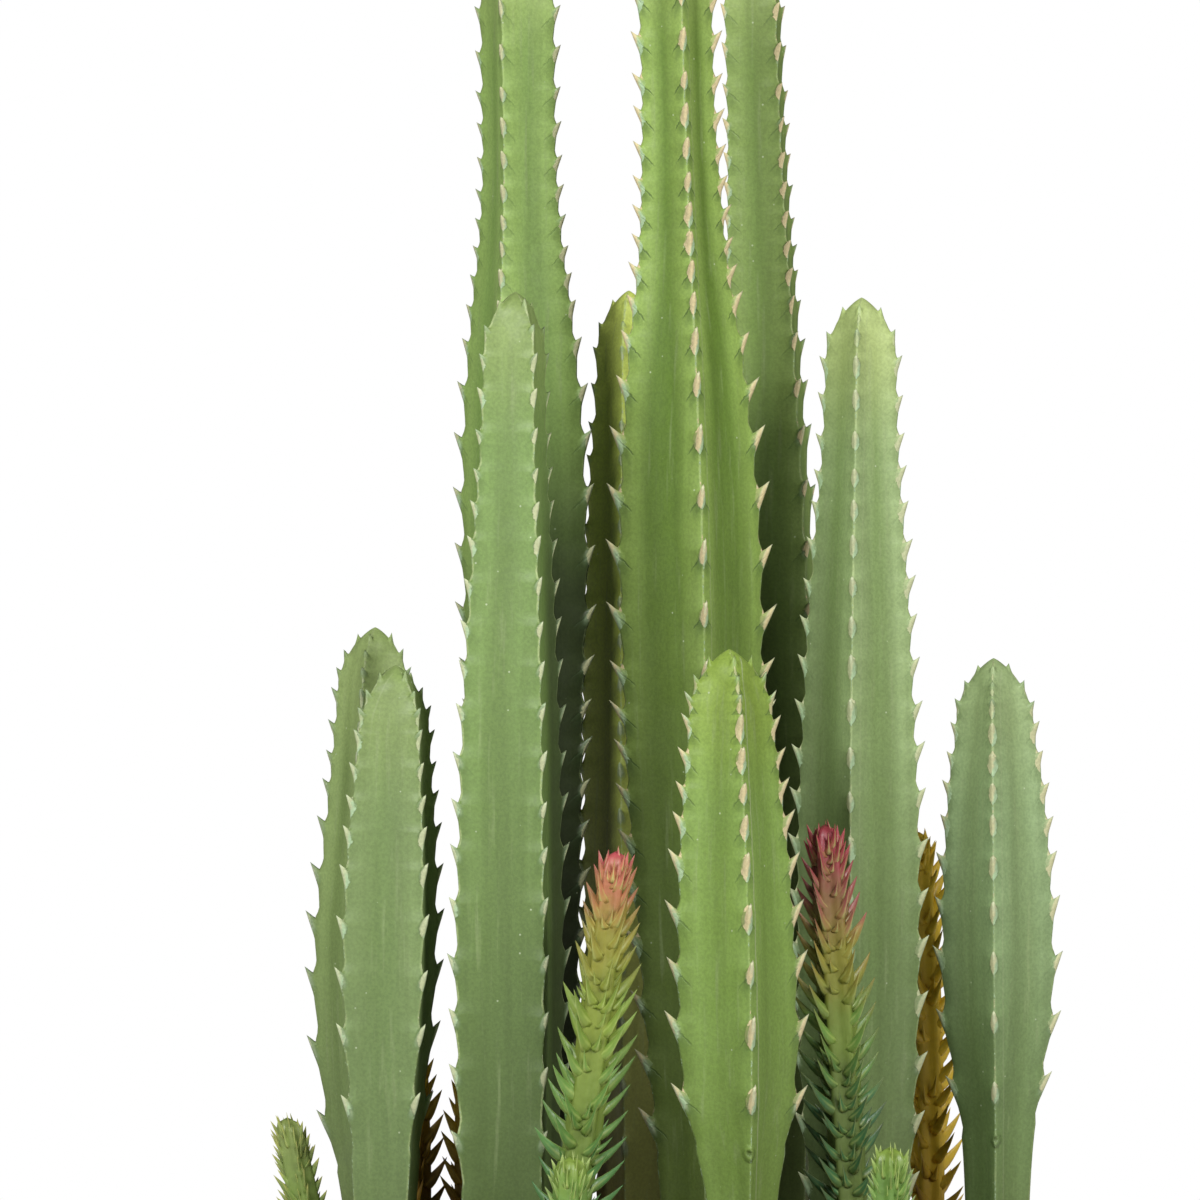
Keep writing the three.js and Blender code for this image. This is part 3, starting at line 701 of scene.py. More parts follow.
def column_finish(name, stem, look):
    """Skin for one column. Its look gives the colours on the ribs, in the hollows, near the foot and
    at the tip, then how strong its cream scales are, their size, and how strong the rest is."""
    paint = Finish(name, colour(*look.skin))
    signed, phase, gap = paint.attribute("rib_place")
    thorn, own, pulled = paint.attribute("tooth_place")
    across = abs(signed)
    above = (phase.maths("FRACT") - NOTCH_PHASE) * gap
    height = paint.height()
    below_tip = stem.height - height

    blotch = paint.noise(30, 3, 0.55)
    fine = paint.noise(900, 3, 0.6)
    ragged = (paint.noise(620, 3, 0.65) - 0.5) * 1.9
    streaky = paint.noise(420, 3, 0.55, paint.stretched(1, 1, 0.06))
    long_streaks = paint.noise(150, 2, 0.5, paint.stretched(1, 1, 0.04))

    paint.coat(across.ease(1.5, 13) + (blotch - 0.5) * 0.6, colour(*look.hollow))
    # darker towards the foot: partly the stem's own olive, partly painted shade from the stems around it
    paint.coat(height.ease(stem.height * 0.72, stem.height * 0.2) * 0.85, colour(*look.low))
    paint.coat(below_tip.ease(60, 8) * 0.85, colour(*look.tip))
    paint.coat(streaky.ease(0.54, 0.74) * across.ease(1.5, 6, 0.0, 0.3), STREAK)
    paint.mottle(long_streaks.ease(0.35, 0.65), (0.9, 0.9, 0.88), (1.05, 1.05, 1.05))

    # painted shade: low down, the side that faces the middle of the clump is darkened to dark olive
    inward = np.subtract(CLUMP_MIDDLE, stem.foot)
    from_axis = paint.vectors("SUBTRACT", (stem.foot[0] * MM, stem.foot[1] * MM, 0), "Vector")
    facing = paint.vectors("DOT_PRODUCT", (*(inward / np.hypot(*inward)), 0), vector=from_axis)
    paint.coat(facing.ease(2 * MM, 12 * MM) * height.ease(SHADE_TOP, SHADE_FULL, 0.0, look.shade), SHADED)

    # darker green under the tooth, between the crest and the crease that runs down into the face
    slant = above + across * CREASE_SLOPE + CREASE_BELOW
    wedge = slant.ease(0.6, -0.8) * slant.ease(-7, -2) * across.ease(4.2, 1.2, 0.0, 0.45 * look.crease)
    paint.coat(wedge, CREASE)
    reach = across.ease(5.0, 3.2) * across.ease(0.6, 1.2)
    crease = abs(slant + ragged).ease(0.6, 0.2) * reach * (0.6 * look.crease)
    paint.coat(crease, CREASE)

    # the worn line along the crest, and the dull seam beside it
    thin = (across + ragged * 0.4).ease(0.7, 0.25)
    paint.coat(thin * paint.noise(110, 2).ease(0.42, 0.58, 0.1, look.worn), WORN)
    x = paint.node("ShaderNodeSeparateXYZ", {0: paint.place})
    right = x.ease((stem.foot[0] - 6) * MM, (stem.foot[0] - 2) * MM, 0.0, look.seam)
    paint.coat(abs(signed - SEAM_ASIDE).ease(0.5, 0.2) * right, SEAM)

    # the tooth's flank, duller than the skin, and its pale rim
    paint.coat(thorn * pulled.ease(0.05, 0.35) * 0.6, FLANK)
    paint.coat(thorn.ease(0.3, 0.8) * pulled.ease(0.1, 0.5, 0.0, look.rim), RIM)

    # the scale: a lens from below the notch to the tooth's tip, small near the column's top, with a
    # streak under some of the teeth
    grown = below_tip.ease(6, 34, 0.35, 1.0)
    size = own.ease(0.0, 1.0, 0.75 * look.size, 1.15 * look.size) * grown
    middle = (above + SCALE_MIDDLE) / (size * SCALE_REACH)
    width = (1 - middle ** 2).maths("MAXIMUM", 0.0) * (size * SCALE_WIDTH)
    scale = (width - (across + ragged * 0.8)).ease(-0.1, 0.15)
    tail_width = ((above + TAIL_FOOT) / TAIL_LENGTH).maths("MAXIMUM", 0.0) * TAIL_WIDTH
    tail = (tail_width - (across + ragged * 1.3)).ease(-0.1, 0.2) * above.ease(0.4, -0.6)
    tail = tail * (own * 7.0).maths("FRACT").ease(0.35, 0.5) * grown
    paint.coat(tail * (0.5 * look.cream + 0.15), MINT)
    minty = (signed - above * 0.3 + ragged).ease(0.9, 1.9, 1 - look.cream, 1.0)
    rim = across.ease(0.75, 0.3) * pulled.ease(0.3, 0.7)
    scale_colour = paint.blend(rim * 0.6, paint.blend(minty, CREAM, MINT), RIM)
    on_face = (thorn + pulled.ease(0.25, 0.05)).ease(0.35, 0.85, 0.25, 1.0)
    paint.coat(scale * (grown * on_face), scale_colour)

    # tiny pale specks and soft mottling
    cells = paint.node("ShaderNodeTexVoronoi", {"Vector": paint.place, "Scale": SPECKS}, None)
    rare = paint.node("ShaderNodeSeparateColor", {0: cells[1]})
    paint.coat(cells[0].ease(0.12, 0.05) * rare.ease(0.86, 0.9) * 0.6, SPECK)
    paint.mottle(fine.ease(0.3, 0.7), (0.88, 0.88, 0.88), (1.08, 1.08, 1.08))

    paint.emboss(streaky, 0.25, 0.35)
    paint.emboss(fine, 0.1, 0.5)
    paint.emboss(scale - crease, 0.25, 0.8)
    if look.knob:
        # a healed bud: a small raised ring with a dark dimple
        away = paint.vectors("DISTANCE", [value * MM for value in look.knob]) * (1 / MM) + ragged * 0.4
        paint.coat(away.ease(1.6, 0.6, 0.0, 0.7), KNOB)
        paint.emboss(away.ease(3.6, 1.8) * away.ease(0.4, 1.6), 0.8, 0.8)
    return paint.done(paint.noise(120, 3).ease(0.3, 0.7, 0.46, 0.62) + scale * 0.2)


# %% Grow the columns
LOOKS = {
    "column_tall_left": Look(
        (150, 180, 98), (128, 158, 82), (62, 74, 40), (154, 174, 102), 0.6, 0.9, 0.5, 0.4, 0.2, shade=0.9),
    "column_tall_centre": Look(
        (142, 170, 84), (98, 126, 48), (94, 112, 52), (148, 168, 94), 1, 1.25, 1, 0.35, 0.3, rim=0.75),
    "column_tall_right": Look(
        (128, 152, 80), (112, 138, 66), (84, 100, 54), (146, 164, 96), 1, 0.9, 0.5, 0.3, 0.1),
    "column_middle_left": Look(
        (118, 145, 80), (108, 134, 70), (88, 110, 56), (132, 152, 88), 0.45, 0.8, 0.15, 0.8, 0.1,
        shade=0.8),
    "column_middle_rear": Look(
        (182, 198, 92), (180, 194, 88), (146, 148, 84), (196, 210, 104), 0.3, 0.4, 0, 0.4, 0),
    "column_middle_right": Look(
        (146, 168, 114), (122, 145, 88), (104, 126, 74), (170, 186, 118), 0.45, 1.3, 0.2, 0.6, 0.15,
        rim=0.5, shade=0.35),
    "column_short_front": Look(
        (128, 157, 76), (116, 144, 66), (114, 140, 66), (134, 158, 64), 0.95, 1.35, 0.7, 0.1, 0.7,
        rim=0.75, knob=(28.8, -91.6, 268.6)),
    "column_short_left_rear": Look(
        (146, 168, 104), (122, 144, 82), (118, 140, 82), (154, 174, 108), 0.4, 0.7, 0.2, 0.4, 0.1),
    "column_short_left_front": Look(
        (120, 142, 87), (104, 127, 71), (104, 127, 75), (128, 148, 86), 0.4, 1, 0.1, 0.4, 0.2),
    "column_short_right": Look(
        (140, 164, 116), (126, 148, 100), (98, 122, 66), (144, 164, 112), 0.6, 1.25, 0.25, 0.4, 0.2,
        knob=(119.9, -5.2, 265.1)),
}
for stem in STEMS:
    if stem.name in LOOKS:
        name = stem.name + "_skin"
        points, faces, tables = column_skin(stem)
        finish = column_finish(name, stem, LOOKS[stem.name])
        corners = dict(zip(("rib_place", "tooth_place"), tables))
        make_piece(name, points, faces, finish, stem.name, corners)

# %% [markdown]
# ## Leafy shoots
# A shoot is a slim ribbed core that bristles with leaf-like teeth: flat, pointed and standing on
# edge like keels, upright at the tip of the shoot and spreading lower down. A core alone with a bump
# pattern would look like a pine cone from the side, so every tooth is a small closed leaf of its
# own with its base sunk into the core. One leaf is a ring of ten points carried along a bent line
# while it shrinks to a point. All the leaves of a shoot are worked out together.

# %% Leaves and cores
LEAF_STATIONS = np.array([0, 0.14, 0.3, 0.48, 0.66, 0.82, 0.93])
LEAF_RING = 10
LEAF_SINK = 2.2
LEAST_HEEL = 0.3
LEAF_DEPTH_SHARE = 0.4
LEAF_DEPTHS = (1.1, 3.0)
LEAF_TAPER = 0.9
HEEL_PINCH, PINCH_LENGTH = 0.25, 0.15
HEEL_SPREAD, SPREAD_LENGTH = 1.5, 0.24
BLADE_WIDTH = 0.8
KEEL_POWER = 1.5
LEAF_SIZES = (0.82, 1.1)
LEAF_TURN = 0.16
DROOP_DEPTH = 60
CORE_COLUMNS = 40
CORE_STEP = 2.5
CORE_RIDGE = 2.5
CORE_BELOW_TOP = 4.0
CROWN_LEAVES = 9
CROWN_FALL, CROWN_FALL_POWER = 7.5, 1.3
CROWN_SPREAD, CROWN_SPREAD_POWER = (1.0, 8.0), 0.8
CROWN_ROOT, CROWN_NOTCH, CROWN_LEAF_SIZE = 11, 5.5, 0.8
CROWN_ROOM = 6
GOLDEN_TURN = math.radians(137.5)
SMALL_LEAF_SHARE = 0.45
SMALL_LEAF_SIZES = (0.5, 0.8)
SMALL_LEAF_LOW = (-2, 2)
SMALL_LEAF_NOTCH = 0.8
SMALL_LEAF_RISE = (1.5, 5)
SMALL_LEAF_REACH = (0.2, 0.42)
SMALL_LEAF_ASIDE = (0.16, 0.34)


def core_skin(stem):
    """The core: the same rule of girth, ribs and dome as a column, with rounder ribs and no teeth."""
    kind = stem.kind
    rise = np.linspace(0, stem.height - CORE_BELOW_TOP, int(stem.height / CORE_STEP))
    height = np.append([-ROOT_DEPTH, -ROOT_DEPTH / 2], rise)[:, None]
    angle = full_turn(CORE_COLUMNS)
    ridge = np.abs(np.cos(angle * kind.ribs / 2)) ** CORE_RIDGE
    ribbed = smoothstep(height / FOOT_ROUNDING)
    reach = crest_radius(stem, height) * (1 - (1 - kind.valley) * (1 - ridge) * ribbed)
    grid = around(*axis_at(stem, height), reach, front_of(stem) + angle, SOIL_Z + height)
    points = np.concatenate([grid.reshape(-1, 3), end_points(stem, stem.height - CORE_BELOW_TOP / 2)])
    return points, closed_faces(len(height), CORE_COLUMNS)


def leaf_rows(stem, rng):
    """One row a leaf: heights of its root, notch and tip, the tip's distance from the axis, its
    angle from the front rib and its size. Those of the ribs stand in the measured places, unevenly
    turned and stretched; between them stand smaller, steeper ones that lie close to the core; the
    crown's follow each other by the golden angle, and close the top of the shoot."""
    near_top = stem.height - CORE_BELOW_TOP
    rib_turn = 2 * math.pi / stem.kind.ribs
    rows = []
    for rib in range(stem.kind.ribs):
        root, notch, tip, reach = teeth_of(stem, rib)
        size = rng.uniform(*LEAF_SIZES, len(root))
        out = crest_radius(stem, np.minimum(notch, near_top)) + reach * size
        angle = rib * rib_turn + rng.normal(0, LEAF_TURN, len(root))
        rows.append(together(root, notch, notch + (tip - notch) * size, out, angle, size))
        count = 2 * len(root)
        low = np.repeat(root, 2) + rng.uniform(*SMALL_LEAF_LOW, count)
        high = low + np.repeat(notch - root, 2) * SMALL_LEAF_NOTCH
        end = high + rng.uniform(*SMALL_LEAF_RISE, count)
        out = rng.uniform(*SMALL_LEAF_REACH, count) * np.repeat(reach, 2)
        out = crest_radius(stem, np.minimum(high, near_top)) + out
        side = np.where(np.arange(count) % 2 == 0, -1, 1)
        angle = (rib + 0.5 + side * rng.uniform(*SMALL_LEAF_ASIDE, count)) * rib_turn
        small = rng.uniform(*SMALL_LEAF_SIZES, count)
        kept = (end < stem.height - CROWN_ROOM) & (rng.uniform(0, 1, count) < SMALL_LEAF_SHARE)
        rows.append(together(low, high, end, out, angle, small)[kept])
    number = np.arange(CROWN_LEAVES)
    share = number / (CROWN_LEAVES - 1)
    tip = stem.height - CROWN_FALL * share ** CROWN_FALL_POWER
    out = between_ends(CROWN_SPREAD, share ** CROWN_SPREAD_POWER)
    crown = (tip - CROWN_ROOT, tip - CROWN_NOTCH, tip, out, number * GOLDEN_TURN, CROWN_LEAF_SIZE)
    rows.append(together(*crown))
    return np.concatenate(rows)


def leaf_skins(stem, width, droop, seed):
    """All leaves of a shoot. A leaf is a flat fin that stands on edge like a keel: its ring is deep
    up and down the shoot and thin round it, pinched to an edge above and below, and shrinks to a
    point as its middle line leaves the core and bends up to the tip."""
    rng = np.random.default_rng(seed)
    root, notch, tip, far, angle, size_of = leaf_rows(stem, rng).T[:, :, None]
    count = len(root)
    t = LEAF_STATIONS
    base = (root + notch) / 2
    core = crest_radius(stem, np.minimum(base, stem.height - CORE_BELOW_TOP))
    near = np.maximum(core - LEAF_SINK, LEAST_HEEL)
    bend = droop * smoothstep((stem.height - tip) / DROOP_DEPTH)
    out = near + (far - near) * t
    rise = base + (tip - base) * (t - bend * t * (1 - t) * 2)
    slope_up = (tip - base) * (1 - bend * (1 - 2 * t) * 2)
    length = np.hypot(far - near, slope_up)
    shrink = (1 - t) ** LEAF_TAPER * (1 - HEEL_PINCH * np.exp(-((t / PINCH_LENGTH) ** 2)))
    deep = np.clip(LEAF_DEPTH_SHARE * (notch - root), *LEAF_DEPTHS) * size_of * shrink
    thin = width * shrink * (BLADE_WIDTH + HEEL_SPREAD * np.exp(-((t / SPREAD_LENGTH) ** 2)))
    ring = full_turn(LEAF_RING)
    keel = np.sign(np.cos(ring)) * np.abs(np.cos(ring)) ** KEEL_POWER
    lift = deep[..., None] * np.sin(ring)
    aside = thin[..., None] * keel
    ring_out = out[..., None] - lift * (slope_up / length)[..., None]
    ring_up = rise[..., None] + lift * ((far - near) / length)[..., None]
    turned = front_of(stem) + angle
    point = around(*axis_at(stem, tip), far, turned, SOIL_Z + tip)
    turned = turned[..., None]
    rings = around(*axis_at(stem, ring_up), ring_out, turned, SOIL_Z + ring_up)
    rings += together(-aside * np.sin(turned), aside * np.cos(turned), 0)
    heel = rings[:, 0].mean(axis=1, keepdims=True)
    points = np.concatenate([rings.reshape(count, -1, 3), heel, point], axis=1)
    per_leaf = points.shape[1]
    first = np.arange(count)[:, None, None] * per_leaf
    faces = [(first + block).reshape(-1, block.shape[1]) for block in closed_faces(len(t), LEAF_RING)]
    place = np.zeros((count, per_leaf, 3))
    place[:, :-2, 0] = np.repeat(t, LEAF_RING)
    place[:, -1, 0] = 1
    place[:, :-2, 1] = np.tile(np.sin(ring), len(t))
    place[:, :, 2] = rng.uniform(0.05, 1, (count, 1))
    return points.reshape(-1, 3), faces, place.reshape(-1, 3)


def shoot_skin(stem, width, droop, seed):
    """Core and leaves in one mesh, with each corner's place on its leaf: share of its length, how
    far to the side, and a number that sets the leaf apart from its neighbours."""
    core, core_faces = core_skin(stem)
    leaves, leaf_faces, place = leaf_skins(stem, width, droop, seed)
    points = np.concatenate([core, leaves])
    faces = core_faces + [block + len(core) for block in leaf_faces]
    values = np.concatenate([np.zeros((len(core), 3)), place])
    corner = values[np.concatenate([block.ravel() for block in faces])]
    return points, faces, corner


# %% [markdown]
# ## The shoots' finish
# Each shoot changes colour down its length: two are rose at the tip, olive gold below it and green
# at the foot, the low ones are plain green, and the ones in the shade behind are mustard brown.
# The leaves carry a paler middle line and tips that are tinted, so the finish mixes the colour
# of the depth below the shoot's tip with the place on the leaf.

# %% Shoot finish
def shoot_finish(name, stem, bands, leaf_tip, tip_share, vein, stripe):
    """bands are pairs of depth below the shoot's tip and colour, from the tip down."""
    paint = Finish(name, bands[0][1])
    leaf, aside, own = paint.attribute("leaf_place")
    depth = stem.height - paint.height() + (paint.noise(110, 3, 0.6) - 0.5) * 20
    for (start, _), (end, shade) in zip(bands, bands[1:]):
        paint.coat(depth.ease(start, end), shade)
    on_leaf = own.ease(0.0, 0.04)
    paint.coat((1 - on_leaf) * depth.ease(14, 34, 0.0, 0.45), stripe)
    paint.coat(leaf.ease(0.5, 0.1) * (on_leaf * 0.3), stripe)
    paint.coat(leaf.ease(0.45, 1.0) * tip_share, leaf_tip)
    paint.coat(abs(aside).ease(0.75, 1.0) * on_leaf * 0.5, vein)
    paint.coat(abs(aside).ease(0.3, 0.05) * on_leaf * leaf.ease(0.75, 0.3) * 0.3, vein)
    grain = paint.noise(500, 3, 0.6)
    paint.mottle(own * 0.4 + grain * 0.5, (0.72, 0.72, 0.7), (1.3, 1.3, 1.3))
    paint.emboss(paint.noise(300, 3, 0.6, paint.stretched(1, 1, 0.15)), 0.5, 0.6)
    paint.emboss(grain, 0.15, 0.6)
    return paint.done(grain.ease(0.3, 0.7, 0.34, 0.5))


ROSE = colour(190, 78, 92)
CRIMSON = colour(160, 60, 72)
DUSTY_ROSE = colour(150, 86, 80)
SALMON = colour(176, 112, 80)
OLIVE_GOLD = colour(150, 142, 62)
YELLOW_GREEN = colour(128, 152, 64)
LEAF_GREEN = colour(106, 144, 68)
DEEP_GREEN = colour(78, 126, 66)
FADED_GREEN = colour(136, 152, 84)
TEAL_GREEN = colour(66, 112, 70)
PALE_TIP = colour(190, 206, 140)
YELLOW_TIP = colour(196, 190, 110)
MUSTARD = colour(226, 192, 56)
BROWN = colour(150, 118, 48)
PALE_VEIN = colour(186, 198, 118)
GOLD_STRIPE = colour(136, 138, 50)
STRAW = colour(214, 186, 84)
PALE_STRAW = colour(206, 184, 84)

# %% Grow the shoots
LEAF_FORMS = {"pink": (1.25, 0.25), "green": (0.9, 0.1), "bronze": (1.2, 0.2)}
LOW_BANDS = [(0, YELLOW_GREEN), (20, LEAF_GREEN), (60, DEEP_GREEN)]
SHOOTS = {
    "shoot_pink_centre": (
        [(0, ROSE), (13, SALMON), (32, OLIVE_GOLD), (56, YELLOW_GREEN), (84, LEAF_GREEN),
         (115, DEEP_GREEN)], TEAL_GREEN, 0.25, PALE_VEIN, GOLD_STRIPE),
    "shoot_pink_right": (
        [(8, CRIMSON), (28, DUSTY_ROSE), (48, OLIVE_GOLD), (74, LEAF_GREEN), (104, TEAL_GREEN)],
        DUSTY_ROSE, 0.2, PALE_VEIN, GOLD_STRIPE),
    "shoot_green_far_left": (
        [(0, FADED_GREEN), (60, LEAF_GREEN)], YELLOW_TIP, 0.75, PALE_VEIN, YELLOW_GREEN),
    "shoot_green_right": (LOW_BANDS, PALE_TIP, 0.5, PALE_VEIN, YELLOW_GREEN),
    "shoot_green_centre": (LOW_BANDS, PALE_TIP, 0.5, PALE_VEIN, YELLOW_GREEN),
    "shoot_bronze_right": ([(0, MUSTARD), (110, MUSTARD), (150, BROWN)], STRAW, 0.5, PALE_STRAW, MUSTARD),
    "shoot_bronze_left": ([(0, MUSTARD), (50, BROWN)], BROWN, 0.6, MUSTARD, BROWN),
    "shoot_bronze_inner": ([(0, MUSTARD), (60, BROWN)], BROWN, 0.5, MUSTARD, BROWN),
}
for number, stem in enumerate(STEMS):
    if stem.name in SHOOTS:
        name, family = stem.name + "_skin", stem.name.split("_")[1]
        points, faces, place = shoot_skin(stem, *LEAF_FORMS[family], number)
        finish = shoot_finish(name, stem, *SHOOTS[stem.name])
        make_piece(name, points, faces, finish, stem.name, {"leaf_place": place})

# %% [markdown]
# ## Pot
# A thrown clay pot is a profile turned round an axis, so its skin is that profile as a list of
# corners, each rounded, carried round in a full circle. The corners come from the measured pot.
# A lathe in the Spin tool gives the same shape, but here every ring can also waver by a fraction
# of a millimetre, as a thrown pot does.

# %% Pot skin
POT_HEIGHT, POT_BASE, POT_BODY_TOP, POT_RIM = 225.0, 106.0, 146.0, 155.0
POT_BAND, POT_TAPER, POT_WALL, POT_FLOOR, POT_EDGE, DRAIN = 44.0, 1.0, 12.0, 14.0, 3.0, 12.0
POT_COLUMNS = 120
WALL_STEP = 3.0
THROWING_WAVES = ((0.12, 2.1, 1), (0.1, 5.3, 2))
WEAR = 0.15


def pot_inner_radius(z):
    """The inner wall is straight, a wall's thickness inside the line from base to rim."""
    return POT_BASE + (POT_RIM - POT_BASE) * z / POT_HEIGHT - POT_WALL


def rounded(corners, radius, steps=5):
    """An open outline with each inner corner replaced by a smooth curve that starts and ends a
    radius away from it: a parabola drawn between the two points with the corner as its pull."""
    path = [corners[0]]
    for before, corner, after in zip(corners, corners[1:], corners[2:]):
        corner = np.array(corner, float)
        to_before, to_after = np.subtract(before, corner), np.subtract(after, corner)
        reach = min(radius, np.hypot(*to_before) * 0.45, np.hypot(*to_after) * 0.45)
        start = corner + to_before / np.hypot(*to_before) * reach
        end = corner + to_after / np.hypot(*to_after) * reach
        for t in np.linspace(0, 1, steps):
            path.append(tuple((1 - t) ** 2 * start + 2 * t * (1 - t) * corner + t * t * end))
    return np.array(path + [corners[-1]])


def pot_skin():
    """The outline runs from the drain hole under the base, up the outside, over the rim, down the
    inside and back to the drain hole. Walls are cut into short steps so that they can waver."""
    band = POT_HEIGHT - POT_BAND
    corners = [
        (DRAIN, 0), (POT_BASE, 0), (POT_BODY_TOP, band), (POT_RIM - POT_TAPER, band),
        (POT_RIM, POT_HEIGHT), (pot_inner_radius(POT_HEIGHT), POT_HEIGHT),
        (pot_inner_radius(POT_FLOOR), POT_FLOOR), (DRAIN, POT_FLOOR),
    ]
    path = rounded(corners, POT_EDGE)
    length = np.append(0, np.cumsum(np.hypot(*np.diff(path, axis=0).T)))
    stops = np.unique(np.concatenate([length, np.arange(0, length[-1], WALL_STEP)]))
    radius = np.interp(stops, length, path[:, 0])[:, None]
    z = np.interp(stops, length, path[:, 1])[:, None]
    angle = full_turn(POT_COLUMNS)
    wall = smoothstep(z / 10) * smoothstep((radius - POT_BASE * 0.9) / 5)
    waver = sum(size * np.sin(z / wave + lobes * angle) for size, wave, lobes in THROWING_WAVES)
    grid = around(0, 0, radius + (waver - WEAR) * wall, angle, z)
    rows = len(stops)
    closing = grid_faces(rows + 1, POT_COLUMNS) % (rows * POT_COLUMNS)
    return grid.reshape(-1, 3), [closing]


points, faces = pot_skin()

# %% [markdown]
# ## Fired clay
# Terracotta is a dull orange red with a fine sandy grain. Where water has dried it carries a pale
# bloom of lime, mostly near the base and under the rim band, and throwing leaves faint rings.

# %% Clay finish
def clay_finish():
    """Dull orange clay, then darker sand, paler rings and the bloom, which fills only its patches."""
    paint = Finish("fired_clay", colour(178, 98, 66))
    z = paint.height()
    sand = paint.noise(900, 3, 0.65)
    rings = paint.noise(60, 3, 0.5, paint.stretched(0.05, 0.05, 4))
    paint.coat(paint.noise(14, 4, 0.6).ease(0.3, 0.7), colour(200, 122, 86))
    paint.coat(sand.ease(0.45, 0.75, 0.0, 0.35), colour(150, 76, 50))
    paint.coat(rings.ease(0.4, 0.7, 0.0, 0.22), colour(214, 146, 112))
    bloom = z.ease(-120, -205) * 0.7 + z.ease(-60, -30) * z.ease(-12, -28) * 0.5
    paint.coat(bloom * paint.noise(30, 5, 0.65).ease(0.42, 0.72), colour(222, 204, 188))
    paint.emboss(rings, 0.4, 0.5)
    paint.emboss(sand, 0.25, 0.6)
    return paint.done(sand.ease(0.3, 0.7, 0.78, 0.92))


make_piece("clay_pot", points, faces, clay_finish(), "pot")

# %% [markdown]
# ## Soil
# Cactus soil is dark potting mix with grit in it. Its surface is a disc of rings whose height is
# a sum of waves and seeded roughness, a little higher round each stem where it was pressed down.
# On top lie a few thousand loose grains: dark crumbs and pale grit. A grain is a squashed ball of
# twenty faces, turned and stretched at random, all made as one array.

# %% Soil skin
SOIL_RINGS = 110
SOIL_COLUMNS = 300
SOIL_FLOOR_GAP = 0.3
SOIL_EDGE_DROP = 3.0
SOIL_ROUGHNESS = 0.28
SOIL_SETTLED = 1.2
SOIL_EDGE_WIDTH = 8
SOIL_OVERLAP = 0.6
MOUND, MOUND_WIDTH = 1.6, 6
GRAINS = 5200
GRAIN_SIZES = (0.6, 2.3)
GRAIN_LUMPS = 0.12
GRAIN_STRETCH = (0.7, 1.25)
GRAIN_FLATNESS = [1, 1, 0.75]
GRAIN_SHOWS = 0.35
GRAIN_OFF_WALL, GRAIN_OFF_STEM = 3, 1.5


def beside_foot(stem, x, y):
    """How far a place lies outside a stem's foot, in millimetres."""
    return np.hypot(x - stem.foot[0], y - stem.foot[1]) - stem.girth[0][1]


def soil_height(x, y, rng):
    """Height over the measured level: long and short waves, raised beside the stems, lower at the
    wall of the pot."""
    wave = 0.5 * np.sin(x / 17 + 1.3) * np.cos(y / 21) + 0.35 * np.sin(x / 7.1 + y / 9.3)
    wave += 0.3 * np.sin(x / 3.1 - y / 2.7 + 2 * np.sin(x / 11))
    mound = np.zeros_like(x)
    for stem in STEMS:
        away = np.maximum(beside_foot(stem, x, y), 0)
        mound = np.maximum(mound, MOUND * np.exp(-away / MOUND_WIDTH))
    wall = pot_inner_radius(SOIL_Z) - np.hypot(x, y)
    rough = rng.normal(0, SOIL_ROUGHNESS, x.shape)
    return wave + mound + rough - SOIL_SETTLED - SOIL_EDGE_DROP * np.exp(-wall / SOIL_EDGE_WIDTH)


def soil_bed(rng):
    """A closed body: the rough top, a side against the pot and a flat bottom."""
    edge = pot_inner_radius(SOIL_Z) + SOIL_OVERLAP
    share = np.sqrt(np.linspace(0.0002, 1, SOIL_RINGS))[::-1, None]
    angle = full_turn(SOIL_COLUMNS)
    x, y = share * edge * np.cos(angle), share * edge * np.sin(angle)
    top = together(x, y, SOIL_Z + soil_height(x, y, rng))
    bottom_z = POT_FLOOR + SOIL_FLOOR_GAP
    bottom = around(0, 0, pot_inner_radius(bottom_z) - SOIL_FLOOR_GAP, angle, bottom_z)
    grid = np.concatenate([bottom[None], top])
    points = np.concatenate([grid.reshape(-1, 3), [(0, 0, bottom_z), (0, 0, SOIL_Z - 1)]])
    return points, closed_faces(len(grid), SOIL_COLUMNS)


def grain_ball():
    """A twenty-faced ball: the corners of three golden rectangles that cross at right angles."""
    golden = (1 + math.sqrt(5)) / 2
    flat = np.array([(-1, golden), (1, golden), (-1, -golden), (1, -golden)])
    zero = np.zeros((4, 1))
    corners = np.concatenate([
        np.hstack([flat, zero]), np.hstack([zero, flat]), np.hstack([flat[:, 1:], zero, flat[:, :1]]),
    ])
    faces = []
    for a, b, c in combinations(range(12), 3):
        one, two = corners[b] - corners[a], corners[c] - corners[a]
        if all(abs(np.linalg.norm(side) - 2) < 0.01 for side in (one, two, two - one)):
            outward = np.dot(np.cross(one, two), corners[a])
            faces.append((a, b, c) if outward > 0 else (a, c, b))
    return corners / np.linalg.norm(corners[0]), np.array(faces)


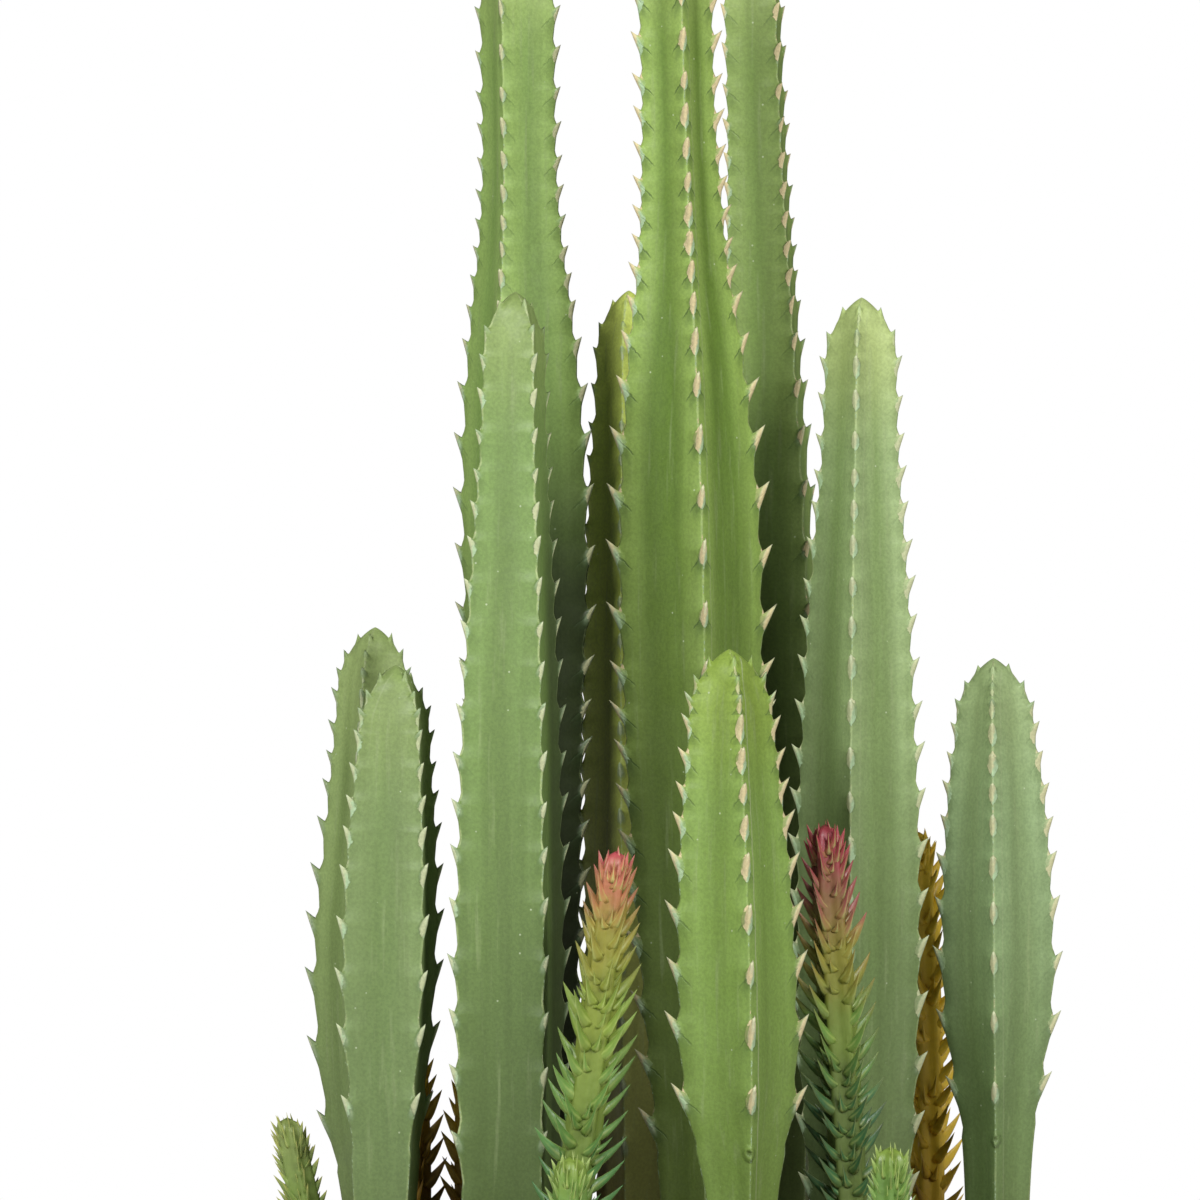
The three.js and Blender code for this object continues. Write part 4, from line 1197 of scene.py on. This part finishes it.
def soil_grains(rng):
    """Grains scattered evenly over the disc, clear of the stems, sunk by a third of their size."""
    ball, ball_faces = grain_ball()
    edge = pot_inner_radius(SOIL_Z) - GRAIN_OFF_WALL
    away = edge * np.sqrt(rng.uniform(0, 1, GRAINS))
    turn = rng.uniform(0, 2 * math.pi, GRAINS)
    x, y = away * np.cos(turn), away * np.sin(turn)
    clear = np.ones(GRAINS, bool)
    for stem in STEMS:
        clear &= beside_foot(stem, x, y) > GRAIN_OFF_STEM
    x, y = x[clear], y[clear]
    count = len(x)
    size = between_ends(GRAIN_SIZES, rng.uniform(0, 1, count) ** 3)
    z = SOIL_Z + soil_height(x, y, np.random.default_rng(3)) + size * GRAIN_SHOWS
    stretch = rng.uniform(*GRAIN_STRETCH, (count, 1, 3)) * GRAIN_FLATNESS
    lumps = 1 + rng.normal(0, GRAIN_LUMPS, (count, 12, 1))
    shape = ball * lumps * stretch * size[:, None, None]
    spin = rng.uniform(0, 2 * math.pi, (count, 1))
    turned_x = shape[..., 0] * np.cos(spin) - shape[..., 1] * np.sin(spin)
    turned_y = shape[..., 0] * np.sin(spin) + shape[..., 1] * np.cos(spin)
    points = together(turned_x + x[:, None], turned_y + y[:, None], shape[..., 2] + z[:, None])
    first = np.arange(count)[:, None, None] * 12
    kind = rng.uniform(0, 1, count)
    faces = (first + ball_faces).reshape(-1, 3)
    return points.reshape(-1, 3), faces, np.repeat(kind, len(ball_faces) * 3)


# %% Soil finish
GRIT = [
    (0.3, 0.45, colour(108, 84, 62)), (0.62, 0.68, colour(150, 142, 130)),
    (0.84, 0.9, colour(206, 198, 182)),
]


def soil_finish():
    """Dark crumbly mix; a grain's own number picks it dark, brown, grey or pale."""
    paint = Finish("gritty_soil", colour(44, 32, 24))
    own, on_grain, _ = paint.attribute("grain")
    crumb = paint.noise(260, 5, 0.7)
    paint.coat(paint.noise(60, 4, 0.6).ease(0.3, 0.7), colour(74, 54, 40))
    paint.coat(crumb.ease(0.5, 0.7, 0.0, 0.7), colour(98, 76, 56))
    grit = colour(52, 38, 30)
    for start, end, tint in GRIT:
        grit = paint.blend(own.ease(start, end), grit, tint)
    paint.coat(on_grain, paint.blend(crumb.ease(0.4, 0.7, 0.0, 0.4), grit, colour(70, 54, 42)))
    paint.emboss(crumb, 1.2, 0.9)
    return paint.done(crumb.ease(0.3, 0.7, 0.8, 0.98))


bed, bed_faces = soil_bed(np.random.default_rng(11))
grains, grain_faces, grain_kind = soil_grains(np.random.default_rng(12))
bed_corners = sum(block.size for block in bed_faces)
values = np.concatenate([np.zeros((bed_corners, 3)), together(grain_kind, 1, 0)])
make_piece("gritty_soil", np.concatenate([bed, grains]), bed_faces + [grain_faces + len(bed)],
           soil_finish(), "soil", {"grain": values})

# %% [markdown]
# ## Floor
# The pot stands on a pale floor. It belongs to the studio and not to the plant, so it is staged.

# %% Floor
FLOOR_RADIUS = 1.85
bpy.ops.mesh.primitive_circle_add(vertices=96, radius=FLOOR_RADIUS, fill_type="NGON")
floor = bpy.context.object
floor.name = "floor"
pale = Finish("pale_floor", colour(238, 238, 237))
pale.coat(pale.noise(3, 2).ease(0.3, 0.7), colour(246, 246, 245))
floor.data.materials.append(pale.done(0.6))
floor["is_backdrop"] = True
print("floor", 2 * FLOOR_RADIUS, "m across")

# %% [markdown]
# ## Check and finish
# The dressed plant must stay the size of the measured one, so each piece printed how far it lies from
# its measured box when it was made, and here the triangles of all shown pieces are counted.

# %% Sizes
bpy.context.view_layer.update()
total = sum(len(o.data.loops) - 2 * len(o.data.polygons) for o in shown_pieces())
print("triangles in all:", total)
